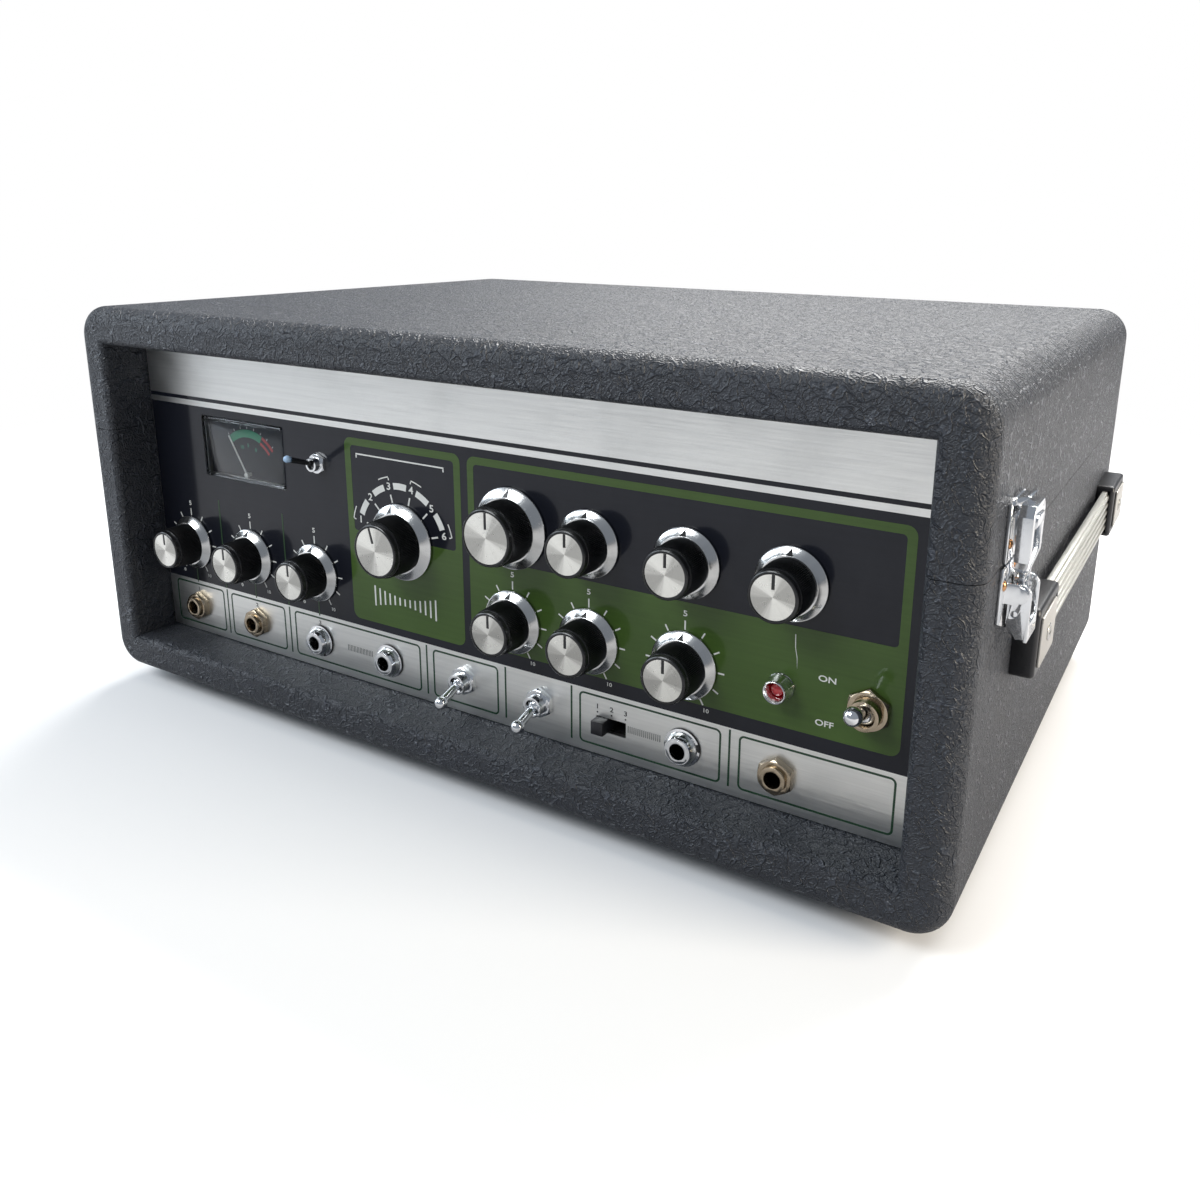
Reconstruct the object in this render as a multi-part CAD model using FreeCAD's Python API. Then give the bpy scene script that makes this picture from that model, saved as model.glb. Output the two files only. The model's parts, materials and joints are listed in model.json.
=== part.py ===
import FreeCAD, Part
import math
import os

from FreeCAD import Vector

# Tape echo unit in a covered carrying cabinet, in millimetres.
# X runs to the right and Y to the back. Z is up. The origin is the middle of the footprint,
# level with the undersides of the feet.

# Cabinet
case_w = 414.0
case_d = 298.0
case_h = 177.0
board = 17.0
edge_r = 14.0
rim_r = 7.0
rim_in_r = 3.0
lower_h = 120.0
lid_gap = 0.3
foot_h = 8.0
foot_r = 14.0
foot_taper = 2.0
foot_inset_x = 30.0
foot_inset_y = 30.0
foot_screw_r = 5.0
foot_screw_deep = 4.0

# Front panel and the sheet behind it
panel_recess = 22.0
panel_t = 2.0
panel_gap = 0.5
sheet_t = 1.5
sheet_gap = 1.0
bend_drop = 16.0
hole_gap = 0.2
shaft_gap = 0.05

# Knobs: place across the panel and height above the cabinet's underside
row_low = 63.8
row_high = 102.5
row_mode = 87.1
level_side = 22.0
level_pitch = 42.0
mode_x = -31.4
rate_x = 25.8
intensity_x = 61.5
echo_x = 102.4
reverb_x = 141.8
large_knob = {"skirt": 16.5, "body": 12.4, "collar": 11.3, "cap": 10.2}
small_knob = {"skirt": 13.2, "body": 9.9, "collar": 9.0, "cap": 7.85}
knob_h = 16.5
knob_lift = 0.5
skirt_edge_h = 0.8
skirt_h = 3.9
collar_h = 2.4
collar_round = 0.6
body_draft = 0.4
skirt_seat = 0.4
cap_t = 0.8
cap_sink = 0.3
knob_under_r = 7.0
knob_under_h = 3.4
shaft_r = 3.0
shaft_in_knob = 8.0
shaft_in_pot = 12.0

# Potentiometers and the rotary switch
pot_bush_r = 3.9
pot_bush_h = 3.0
pot_nut_af = 10.0
pot_nut_t = 1.8
pot_can_r = 8.4
pot_can_d = 10.0
rotary_can_r = 15.0
pot_floor = 2.0

# Jacks
jack_v = 31.0
out_jack_x = 102.6
foot_jack_x = 140.0
jack_bore_r = 3.2
jack_bush_r = 4.7
jack_bush_h = 4.6
jack_nut_af = 12.4
jack_nut_t = 3.0
jack_washer_r = 7.4
jack_washer_t = 0.8
jack_dome_r = 6.3
jack_dome_top_r = 5.2
jack_body_w = 15.0
jack_body_h = 17.0
jack_body_d = 24.0
jack_tip_r = 4.0

# Toggle switches
strip_toggle_v = 32.4
strip_toggle_x = 0.0
strip_toggle_pitch = 38.5
power_x = 171.0
power_v = 64.4
mini_x = -78.0
mini_v = 114.8
large_toggle = {
    "bush": 5.2, "af": 13.6, "nut": 2.4, "rise": 6.6,
    "ball": 3.8, "rod": 2.0, "tip": 3.2, "reach": 14.6,
}
strip_toggle = {
    "bush": 4.2, "af": 11.2, "nut": 2.2, "rise": 6.0,
    "ball": 3.0, "rod": 1.6, "tip": 2.7, "reach": 13.0,
}
mini_toggle = {
    "bush": 3.0, "af": 8.4, "nut": 1.8, "rise": 4.6,
    "ball": 2.0, "rod": 1.0, "tip": 1.5, "reach": 15.5,
}
toggle_tilt = 19.0
toggle_gap = 0.08
toggle_pin_r = 0.7
toggle_pin_over = 0.5
toggle_body_d = 15.0

# Slide switch
slide_x = 71.5
slide_v = 30.7
slide_win_w = 13.4
slide_win_h = 6.2
slide_knob_w = 5.4
slide_gap = 0.3
slide_proud = 4.6
slide_frame_d = 9.0
slide_frame_rim = 3.0

# Meter
meter_x = -126.4
meter_v = 114.0
meter_w = 53.0
meter_h = 28.4
meter_proud = 1.0
meter_wall = 1.4
meter_deep = 4.2
meter_body_d = 8.0
dial_t = 0.6
needle_len = 20.2
needle_r = 0.35
needle_rest = 31.0
needle_pivot_drop = 11.3
needle_hub_r = 1.2
needle_pin_r = 0.8
needle_front = 2.6

# Pilot lamp
lamp_x = 140.0
lamp_v = 65.0
lamp_r = 5.0
lamp_top_r = 4.3
lamp_bore_r = 3.3
lamp_h = 7.0
lamp_stem_r = 4.0
lamp_stem_d = 9.0

# Draw latches on the two sides
latch_from_front = 34.0
latch_plate_w = 25.0
latch_plate_h = 23.0
latch_tip_h = 3.5
latch_t = 1.2
latch_pin_up = 5.5
latch_pin_below = 9.0
latch_pin_r = 1.1
loop_pin_r = 1.0
loop_pin_back = 1.1
loop_pin_below = 6.5
lever_half = 7.0
lever_len = 14.0
lever_eye_r = 3.3
loop_half = 9.3
loop_leg = 2.0
loop_t = 3.0
loop_bar = 3.2
loop_top = 18.5
loop_corner = 3.0
keeper_w = 21.0
keeper_top = 26.0
keeper_half = 5.4
keeper_reach = 8.0
keeper_low = 4.5
keeper_nose = 3.0
lip_rise = 1.0
latch_gap = 0.3

# Strap handle on the right side
handle_v = 84.0
handle_front = 56.0
handle_len = 228.0
handle_cap_len = 37.0
handle_cap_h = 25.0
handle_cap_t = 8.0
handle_cap_r = 3.0
inlay_h = 18.0
inlay_len = 27.0
inlay_t = 0.8
inlay_r = 2.0
inlay_shift = 2.0
groove_w = 3.2
groove_len = 18.0
groove_deep = 1.2
groove_from_end = 5.0
strap_w = 20.0
strap_t = 2.4
strap_off = 2.6
strap_in_cap = 12.0
strap_ribs = 5
strap_rib_t = 0.8

# Lift-off hinges at the back
hinge_x = 115.0
hinge_len = 44.0
hinge_leaf = 18.0
hinge_t = 1.4
hinge_r = 2.5
hinge_pin_r = 1.3
hinge_gap = 0.3
hinge_out = 2.8

# Back plate and mains inlet
back_w = 150.0
back_h = 52.0
back_v = 60.0
back_lap = 7.0
back_t = 1.5
vent_count = 9
vent_w = 3.0
vent_h = 30.0
vent_pitch = 7.0
vent_side = 47.0
inlet_side = 30.0
inlet_w = 27.0
inlet_h = 20.0
inlet_corner = 5.0
inlet_lip = 3.0
inlet_deep = 16.0
inlet_pin_w = 2.0
inlet_pin_h = 4.0
inlet_pin_gap = 7.0
inlet_pin_out = 12.0

# Chassis floor parts
board_t = 1.6
board_up = 8.0
board_len = 150.0
board_d = 90.0
board_x = -80.0
post_r = 3.0
core_w = 66.0
core_d = 42.0
core_h = 56.0
core_x = 110.0
coil_over = 10.0
coil_r = 6.0

# Deck and transport
deck_drop = 4.0
deck_t = 1.6
deck_from_sheet = 18.0
rail_leg = 12.0
rail_t = 1.5
tray_left_gap = 7.0
tray_right_gap = 40.0
tray_y0 = 75.0
tray_back_gap = 12.0
tray_h = 14.0
tray_wall = 2.0
tray_floor = 1.0
tray_r = 6.0
cover_t = 2.0
cover_lip = 3.0
tape_t = 0.3
tape_w = 6.35
tape_up = 4.0
tape_y = 52.0
tape_side = 20.7
tape_in_y = 160.0
tape_guide_r = 4.3
guide_flange = 1.5
guide_flange_t = 1.0
guide_room = 0.5
fold_side = 20.0
fold_end = 17.0
fold_count = 11
tape_gap = 0.3
slot_half = 6.0
head_xs = (-95.0, -45.0, 0.0, 40.0, 80.0)
head_w = 15.0
head_d = 16.0
head_h = 11.0
head_nose = 2.5
head_plate_t = 2.0
head_plate_over = 12.0
pad_w = 6.0
pad_t = 3.0
pad_arm_t = 1.2
pad_rail_y = 62.0
pad_rail_d = 4.0
capstan_side = 60.0
capstan_r = 2.5
capstan_h = 19.0
motor_r = 27.0
motor_h = 48.0
motor_boss_r = 6.0
roller_r = 9.0
roller_h = 10.0
roller_up = 2.6
roller_pin_r = 2.0
arm_reach = 28.0
arm_back = 6.5
arm_w = 8.0
arm_t = 2.0
arm_pin_r = 2.5
arm_gap = 0.3

# Places worked out from the sizes above
z_base = foot_h
z_split = z_base + lower_h
z_top = z_base + case_h
half_w = case_w / 2
y_front = -case_d / 2
y_back = case_d / 2
in_x = half_w - board
in_back = y_back - board
z_floor = z_base + board
z_ceiling = z_top - board
y_panel = y_front + panel_recess
level_x = level_side - in_x
y_sheet = y_panel + panel_t
y_inside = y_sheet + sheet_t
deck_top = z_split - deck_drop
tape_z = deck_top + tape_up
inside_d = in_back - y_inside
inlet_x = back_w / 2 - inlet_side
vent_x = vent_side - back_w / 2
tray_x0 = tray_left_gap - in_x
tray_x1 = in_x - tray_right_gap
tray_y1 = inside_d - tray_back_gap
tape_x = in_x - tape_side
fold_first = tray_x1 - fold_side
fold_pitch = (fold_first + tape_x - fold_side) / (fold_count - 1)
fold_low = tray_y0 + fold_end
fold_high = tray_y1 - fold_end
capstan_x = in_x - capstan_side
arm_x = capstan_x + arm_reach
capstan_y = y_inside + tape_y + tape_t / 2 + tape_gap + capstan_r
roller_y = y_inside + tape_y - tape_t / 2 - tape_gap - roller_r
arm_y = roller_y - arm_back
latch_y = y_front + latch_from_front
pin_x = half_w + latch_pin_up
pin_z = z_split - latch_pin_below
loop_pin_x = pin_x - loop_pin_back
loop_pin_z = pin_z - loop_pin_below

knobs = [
    ("knob_level_1", level_x, row_low, small_knob),
    ("knob_level_2", level_x + level_pitch, row_low, small_knob),
    ("knob_level_3", level_x + 2 * level_pitch, row_low, small_knob),
    ("knob_mode", mode_x, row_mode, large_knob),
    ("knob_drive", rate_x, row_high, large_knob),
    ("knob_bass", intensity_x, row_high, small_knob),
    ("knob_treble", echo_x, row_high, small_knob),
    ("knob_reverb", reverb_x, row_high, small_knob),
    ("knob_rate", rate_x, row_low, small_knob),
    ("knob_intensity", intensity_x, row_low, small_knob),
    ("knob_echo", echo_x, row_low, small_knob),
]
jacks = [
    ("jack_input_1", level_x, "hex"),
    ("jack_input_2", level_x + level_pitch, "hex"),
    ("jack_input_3", level_x + 2 * level_pitch, "dome"),
    ("jack_link", level_x + 3 * level_pitch, "dome"),
    ("jack_output", out_jack_x, "dome"),
    ("jack_footswitch", foot_jack_x, "hex"),
]
toggles = [
    ("toggle_power", power_x, power_v, large_toggle, 1),
    ("toggle_input", strip_toggle_x, strip_toggle_v, strip_toggle, -1),
    ("toggle_output", strip_toggle_x + strip_toggle_pitch, strip_toggle_v, strip_toggle, -1),
    ("toggle_meter", mini_x, mini_v, mini_toggle, 1),
]


def box(x0, x1, y0, y1, z0, z1):
    return Part.makeBox(x1 - x0, y1 - y0, z1 - z0, Vector(x0, y0, z0))


def rod(x, y, z, axis, radius, length):
    return Part.makeCylinder(radius, length, Vector(x, y, z), Vector(*axis))


def save(name, solids):
    """Write one node, a single solid or a group of separate ones."""
    if not isinstance(solids, list):
        solids = [solids]
    shape = solids[0] if len(solids) == 1 else Part.makeCompound(solids)
    if not shape.isValid():
        raise ValueError(name + " is not a valid shape")
    shape.exportStep(os.path.join("parts", name + ".step"))


def one(shape):
    """The single solid that a cut or a fuse leaves."""
    shape = shape.removeSplitter()
    if len(shape.Solids) != 1:
        raise ValueError("expected one solid, got %d" % len(shape.Solids))
    return shape.Solids[0]


def joined(shapes):
    whole = shapes[0]
    for shape in shapes[1:]:
        whole = whole.fuse(shape)
    return one(whole)


def without(shape, tools):
    for tool in tools:
        shape = shape.cut(tool)
    return one(shape)


def turned(profile):
    """Turn a closed outline of (radius, height) points about the Z axis."""
    points = [Vector(r, 0, h) for r, h in profile]
    wire = Part.makePolygon(points + [points[0]])
    return Part.Face(wire).revolve(Vector(0, 0, 0), Vector(0, 0, 1), 360)


def on_panel(shape, x, v, lift=0.0):
    """Put a shape made along +Z on the panel's face, pointing out of it."""
    shape = shape.copy()
    shape.rotate(Vector(0, 0, 0), Vector(1, 0, 0), 90)
    shape.translate(Vector(x, y_panel - lift, z_base + v))
    return shape


def on_side(plate, proud, y, z):
    """Turn a plate that lies flat to stand on the right side of the cabinet."""
    plate = plate.copy()
    plate.rotate(Vector(0, 0, 0), Vector(0, 0, 1), 90)
    plate.rotate(Vector(0, 0, 0), Vector(0, 1, 0), 90)
    plate.translate(Vector(half_w + proud, y, z))
    return plate


def drum(x, v, radius, front, back):
    """A cylinder on the panel: front and back are heights above the panel's face."""
    return rod(x, y_panel - front, z_base + v, (0, 1, 0), radius, front - back)


def corner_radius(across_flats):
    """From the middle of a hexagon to its corners."""
    return across_flats / 2 / math.cos(math.radians(30))


def hexagon(across_flats, height):
    corner_r = corner_radius(across_flats)
    corners = [
        Vector(corner_r * math.cos(math.radians(a)), corner_r * math.sin(math.radians(a)), 0)
        for a in range(30, 391, 60)
    ]
    return Part.Face(Part.makePolygon(corners)).extrude(Vector(0, 0, height))


def hex_nut(across_flats, height, bore):
    """A nut with its front corners turned off."""
    corner_r = corner_radius(across_flats)
    bevel = corner_r - across_flats / 2
    cone = turned([
        (0, 0), (corner_r, 0), (corner_r, height - bevel), (corner_r - bevel, height), (0, height),
    ])
    blank = hexagon(across_flats, height).common(cone)
    return without(blank, [Part.makeCylinder(bore, height)])


def rounded_rect(width, height, radius):
    """A closed wire about the origin, in the XY plane."""
    half_x = width / 2
    half_y = height / 2
    plate = box(-half_x, half_x, -half_y, half_y, 0, 1)
    corners = [e for e in plate.Edges if abs(e.Vertexes[0].Z - e.Vertexes[1].Z) > 0.5]
    face = [f for f in plate.makeFillet(radius, corners).Faces if f.CenterOfMass.z < 1e-6][0]
    return face.OuterWire


def rounded_plate(width, height, radius, thick):
    return Part.Face(rounded_rect(width, height, radius)).extrude(Vector(0, 0, thick))


def thickened(path, thick):
    """The outline of a folded sheet, from one side's (a, b) points and the sheet's thickness."""
    other = []
    for i, (a, b) in enumerate(path):
        before = path[max(i - 1, 0)]
        after = path[min(i + 1, len(path) - 1)]
        normals = []
        for start, end in ((before, (a, b)), ((a, b), after)):
            run = math.hypot(end[0] - start[0], end[1] - start[1])
            if run > 0:
                normals.append(((start[1] - end[1]) / run, (end[0] - start[0]) / run))
        mean = (sum(n[0] for n in normals), sum(n[1] for n in normals))
        scale = thick * len(normals) / (mean[0] ** 2 + mean[1] ** 2)
        other.append((a + mean[0] * scale, b + mean[1] * scale))
    return path + other[::-1]


def along_x(outline, x0, x1):
    """Extrude a closed (y, z) outline from x0 to x1."""
    points = [Vector(x0, a, b) for a, b in outline]
    wire = Part.makePolygon(points + [points[0]])
    return Part.Face(wire).extrude(Vector(x1 - x0, 0, 0))


def rounded_path(corners, z):
    """A closed wire of runs and tangent arcs through (x, y, radius) corners."""
    edges = []
    ends = []
    for i, (x, y, radius) in enumerate(corners):
        here = Vector(x, y, z)
        before = Vector(corners[i - 1][0], corners[i - 1][1], z)
        after = Vector(corners[(i + 1) % len(corners)][0], corners[(i + 1) % len(corners)][1], z)
        back = (before - here).normalize()
        ahead = (after - here).normalize()
        half = back.getAngle(ahead) / 2
        reach = radius / math.tan(half)
        middle = (back + ahead).normalize() * (radius / math.sin(half) - radius)
        ends.append((here + back * reach, here + middle, here + ahead * reach))
    for i, (start, middle, end) in enumerate(ends):
        edges.append(Part.Arc(start, middle, end).toShape())
        edges.append(Part.LineSegment(end, ends[(i + 1) % len(ends)][0]).toShape())
    return Part.Wire(edges)


def mirrored(shape):
    return shape.mirror(Vector(0, 0, 0), Vector(1, 0, 0))


def edges_along_y(shape):
    found = []
    for edge in shape.Edges:
        a, b = edge.Vertexes[0].Point, edge.Vertexes[-1].Point
        if abs(a.y - b.y) > 1 and abs(a.x - b.x) < 1e-6 and abs(a.z - b.z) < 1e-6:
            found.append(edge)
    return found


def edges_in_plane_y(shape, y):
    return [e for e in shape.Edges if all(abs(v.Y - y) < 1e-6 for v in e.Vertexes)]


def cabinet_shell():
    """The covered boards as one rounded box, hollow and open at the front."""
    block = box(-half_w, half_w, y_front, y_back, z_base, z_top)
    block = block.makeFillet(edge_r, edges_along_y(block))
    block = block.makeFillet(rim_r, edges_in_plane_y(block, y_front) + edges_in_plane_y(block, y_back))
    hollow = box(-in_x, in_x, y_front - board, in_back, z_floor, z_ceiling)
    block = block.cut(hollow)
    mouth = [
        e
        for e in edges_in_plane_y(block, y_front)
        if abs(e.BoundBox.XMin) < in_x + 1e-6 and abs(e.BoundBox.XMax) < in_x + 1e-6
        and e.BoundBox.ZMin > z_floor - 1e-6 and e.BoundBox.ZMax < z_ceiling + 1e-6
    ]
    return block.makeFillet(rim_in_r, mouth)


def make_case_and_lid():
    shell = cabinet_shell()
    far = case_w
    below = box(-far, far, -far, far, z_base - foot_h, z_split)
    above = box(-far, far, -far, far, z_split + lid_gap, z_top + foot_h)
    opening = box(-back_w / 2, back_w / 2, in_back - 1, y_back + 1,
                  z_base + back_v - back_h / 2, z_base + back_v + back_h / 2)
    save("case", without(shell.common(below), [opening]))
    save("lid", one(shell.common(above)))


def make_feet():
    profile = [
        (0, foot_screw_deep), (foot_screw_r, foot_screw_deep), (foot_screw_r, 0),
        (foot_r - foot_taper, 0), (foot_r, foot_taper), (foot_r, foot_h), (0, foot_h),
    ]
    feet = []
    for sx in (-1, 1):
        for sy in (-1, 1):
            foot = turned(profile)
            foot.translate(Vector(sx * (half_w - foot_inset_x), sy * (case_d / 2 - foot_inset_y), 0))
            feet.append(foot)
    save("feet", feet)


def control_holes():
    """Everything that passes through the panel and the sheet behind it."""
    front, back = panel_t, -(panel_t + sheet_t + 1)
    holes = [drum(x, v, pot_bush_r + hole_gap, front, back) for name, x, v, size in knobs]
    holes += [drum(x, jack_v, jack_bush_r + hole_gap, front, back) for name, x, style in jacks]
    holes += [drum(x, v, kind["bush"] + hole_gap, front, back) for name, x, v, kind, up in toggles]
    holes.append(drum(lamp_x, lamp_v, lamp_stem_r + hole_gap, front, back))
    y0, y1 = y_panel - 1, y_inside + 1
    holes.append(box(meter_x - meter_w / 2 - hole_gap, meter_x + meter_w / 2 + hole_gap, y0, y1,
                     z_base + meter_v - meter_h / 2 - hole_gap, z_base + meter_v + meter_h / 2 + hole_gap))
    holes.append(box(slide_x - slide_win_w / 2, slide_x + slide_win_w / 2, y0, y1,
                     z_base + slide_v - slide_win_h / 2, z_base + slide_v + slide_win_h / 2))
    return holes


def make_panel_and_chassis():
    half_x = in_x - panel_gap
    plate = box(-half_x, half_x, y_panel, y_sheet, z_floor + panel_gap, z_ceiling - panel_gap)
    save("front_panel", without(plate, control_holes()))
    path = [
        (in_back - back_t - sheet_gap, z_floor + bend_drop),
        (in_back - back_t - sheet_gap, z_floor),
        (y_sheet, z_floor),
        (y_sheet, z_ceiling - sheet_gap),
    ]
    tray = along_x(thickened(path, -sheet_t), -in_x + sheet_gap, in_x - sheet_gap)
    save("chassis", without(tray, control_holes()))


def knob(size):
    """A black body with a spun skirt ring at its foot, a disc let into its face and a shaft."""
    body_r = size["body"]
    top_r = body_r - body_draft
    collar_r = size["collar"]
    floor_h = knob_h - cap_t - cap_sink
    under_h = knob_under_h
    body = turned([
        (shaft_r, under_h), (knob_under_r, under_h), (knob_under_r, knob_lift),
        (body_r - skirt_seat, knob_lift), (body_r - skirt_seat, skirt_h), (body_r, skirt_h),
        (top_r, knob_h - collar_h), (collar_r, knob_h - collar_h),
        (collar_r, knob_h - collar_round), (collar_r - collar_round, knob_h),
        (size["cap"], knob_h), (size["cap"], floor_h), (0, floor_h),
        (0, knob_lift + shaft_in_knob), (shaft_r, knob_lift + shaft_in_knob),
    ])
    skirt = turned([
        (body_r - skirt_seat, knob_lift), (size["skirt"] - skirt_edge_h / 2, knob_lift),
        (size["skirt"], knob_lift + skirt_edge_h / 2), (size["skirt"], knob_lift + skirt_edge_h),
        (body_r + skirt_seat, skirt_h), (body_r - skirt_seat, skirt_h),
    ])
    cap = Part.makeCylinder(size["cap"], cap_t, Vector(0, 0, floor_h))
    shaft = Part.makeCylinder(shaft_r, shaft_in_knob + knob_lift + shaft_in_pot, Vector(0, 0, -shaft_in_pot))
    return [body, skirt, cap, shaft]


def make_knobs():
    for name, x, v, size in knobs:
        save(name, [on_panel(solid, x, v) for solid in knob(size)])


def make_pots():
    """Cans behind the sheet, with a bored bushing through it and a nut under each knob."""
    solids = []
    for name, x, v, size in knobs:
        can_r = rotary_can_r if name == "knob_mode" else pot_can_r
        back = -(panel_t + sheet_t)
        bush = drum(x, v, pot_bush_r, pot_bush_h, back)
        can = drum(x, v, can_r, back, back - pot_can_d - pot_floor)
        bore = drum(x, v, shaft_r + shaft_gap, pot_bush_h, -shaft_in_pot - shaft_gap)
        solids.append(without(joined([bush, can]), [bore]))
        solids.append(on_panel(hex_nut(pot_nut_af, pot_nut_t, pot_bush_r), x, v))
    save("potentiometers", solids)


def make_jacks():
    sockets = []
    bodies = []
    back = -(panel_t + sheet_t)
    for name, x, style in jacks:
        tube = drum(x, jack_v, jack_bush_r, jack_bush_h, back)
        bore = drum(x, jack_v, jack_bore_r, jack_bush_h, back)
        sockets.append(one(tube.cut(bore)))
        if style == "hex":
            sockets.append(on_panel(hex_nut(jack_nut_af, jack_nut_t, jack_bush_r), x, jack_v))
        else:
            ring = turned([
                (jack_bush_r, 0), (jack_washer_r, 0), (jack_washer_r, jack_washer_t),
                (jack_dome_r, jack_washer_t),
                (jack_dome_r, jack_nut_t - jack_washer_t), (jack_dome_top_r, jack_bush_h),
                (jack_bush_r, jack_bush_h),
            ])
            sockets.append(on_panel(ring, x, jack_v))
        block = box(x - jack_body_w / 2, x + jack_body_w / 2, y_inside, y_inside + jack_body_d,
                    z_floor + sheet_t + panel_gap, z_floor + sheet_t + panel_gap + jack_body_h)
        bodies.append(one(block.cut(drum(x, jack_v, jack_tip_r, back, back - jack_body_d + pot_floor))))
    save("jack_sockets", sockets)
    save("jack_bodies", bodies)


def pivot_height(kind):
    """The lever's pivot, above the panel's face."""
    return kind["rise"] / 2


def make_toggles():
    bushings = []
    for name, x, v, kind, up in toggles:
        hollow_r = kind["ball"] + toggle_gap
        back = -(panel_t + sheet_t)
        tube = drum(x, v, kind["bush"], kind["rise"], back)
        depth = pivot_height(kind) - hollow_r
        bore = drum(x, v, hollow_r, kind["rise"], depth)
        block = box(x - kind["af"] / 2, x + kind["af"] / 2, y_inside, y_inside + toggle_body_d,
                    z_base + v - kind["af"] * 0.75, z_base + v + kind["af"] * 0.75)
        pin_half = kind["ball"] + toggle_pin_over + toggle_gap
        pin_hole = rod(x - pin_half, y_panel - pivot_height(kind), z_base + v, (1, 0, 0),
                       toggle_pin_r + shaft_gap, 2 * pin_half)
        bushings.append(without(joined([tube, block]), [bore, pin_hole]))
        bushings.append(on_panel(hex_nut(kind["af"], kind["nut"], kind["bush"]), x, v))
        lever = toggle_lever(kind)
        lever.rotate(Vector(0, 0, 0), Vector(1, 0, 0), -up * toggle_tilt)
        save(name, on_panel(lever, x, v, pivot_height(kind)))
    save("toggle_bushings", bushings)


def toggle_lever(kind):
    """A bat lever along +Z: pivot ball on a cross pin, slim rod that swells, ball tip."""
    ball = Part.makeSphere(kind["ball"])
    pin_half = kind["ball"] + toggle_pin_over
    pin = rod(-pin_half, 0, 0, (1, 0, 0), toggle_pin_r, 2 * pin_half)
    rod_end = kind["reach"]
    stem = Part.makeCone(kind["rod"], kind["rod"] + 0.3, rod_end)
    tip = Part.makeSphere(kind["tip"], Vector(0, 0, rod_end))
    return joined([ball, pin, stem, tip])


def make_slide_switch():
    half_h = slide_win_h / 2
    y1 = y_inside + slide_frame_d
    z0, z1 = z_base + slide_v - half_h, z_base + slide_v + half_h
    frame = box(slide_x - slide_win_w / 2 - slide_frame_rim, slide_x + slide_win_w / 2 + slide_frame_rim,
                y_inside, y1, z0 - slide_frame_rim, z1 + slide_frame_rim)
    channel = box(slide_x - slide_win_w / 2, slide_x + slide_win_w / 2, y_inside - 1,
                  y1 - slide_frame_rim, z0, z1)
    save("slide_switch", one(frame.cut(channel)))
    x0 = slide_x - slide_win_w / 2 + slide_gap
    block = box(x0, x0 + slide_knob_w, y_panel - slide_proud, y1 - slide_frame_rim - slide_gap,
                z0 + slide_gap, z1 - slide_gap)
    save("slide_knob", block)


def make_meter():
    x0, x1 = meter_x - meter_w / 2, meter_x + meter_w / 2
    z0, z1 = z_base + meter_v - meter_h / 2, z_base + meter_v + meter_h / 2
    y0 = y_panel - meter_proud
    y1 = y_panel + meter_deep
    outer = box(x0, x1, y0, y1, z0, z1)
    inner = box(x0 + meter_wall, x1 - meter_wall, y0 + meter_wall, y1 + 1, z0 + meter_wall, z1 - meter_wall)
    save("meter_window", one(outer.cut(inner)))
    pivot_z = z_base + meter_v - needle_pivot_drop
    pin_deep = meter_body_d / 2
    body = box(x0, x1, y1, y1 + meter_body_d, z0, z1)
    body = body.cut(rod(meter_x, y1, pivot_z, (0, 1, 0), needle_pin_r + shaft_gap, pin_deep))
    save("meter_body", one(body))
    edge = meter_wall + shaft_gap
    dial = box(x0 + edge, x1 - edge, y1 - dial_t, y1, z0 + edge, z1 - edge)
    hole = rod(meter_x, y1 - dial_t, pivot_z, (0, 1, 0), needle_pin_r + hole_gap, dial_t)
    save("meter_dial", one(dial.cut(hole)))
    hub_y = y1 - dial_t - needle_front
    hub = rod(meter_x, hub_y, pivot_z, (0, 1, 0), needle_hub_r, needle_front / 2)
    pin = rod(meter_x, hub_y, pivot_z, (0, 1, 0), needle_pin_r, needle_front + dial_t + pin_deep - hole_gap)
    pointer = rod(meter_x, hub_y + needle_front / 4, pivot_z, (0, 0, 1), needle_r, needle_len)
    pointer.rotate(Vector(meter_x, hub_y, pivot_z), Vector(0, 1, 0), -needle_rest)
    save("meter_needle", joined([hub, pin, pointer]))


def make_lamp():
    bezel = turned([
        (lamp_bore_r, 0), (lamp_r, 0), (lamp_r, 1.0), (lamp_top_r, lamp_h - 0.6),
        (lamp_top_r - 0.5, lamp_h), (lamp_bore_r, lamp_h),
    ])
    stem = turned([
        (lamp_bore_r, -lamp_stem_d), (lamp_stem_r, -lamp_stem_d), (lamp_stem_r, 0), (lamp_bore_r, 0),
    ])
    save("lamp_bezel", on_panel(joined([bezel, stem]), lamp_x, lamp_v))
    lens_r = lamp_bore_r - 0.1
    lens = Part.makeCylinder(lens_r, lamp_h - 1.6)
    dome = Part.makeSphere(lens_r, Vector(0, 0, lamp_h - 1.6 - lens_r * 0.35))
    dome = dome.common(Part.makeCylinder(lens_r, lamp_h, Vector(0, 0, lamp_h - 1.7)))
    save("lamp_lens", on_panel(joined([lens, dome]), lamp_x, lamp_v))


def side_plate(outline, w0, w1):
    """Extrude a closed (y, z) outline that stands w0 to w1 off the right side."""
    return along_x([(latch_y + a, b) for a, b in outline], half_w + w0, half_w + w1)


def both_sides(name, solids, split_nodes=False):
    """Save a fitting for the right side and its mirror image for the left."""
    if split_nodes:
        save(name + "_right", solids)
        save(name + "_left", [mirrored(s) for s in solids])
    else:
        save(name, solids + [mirrored(s) for s in solids])


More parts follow.
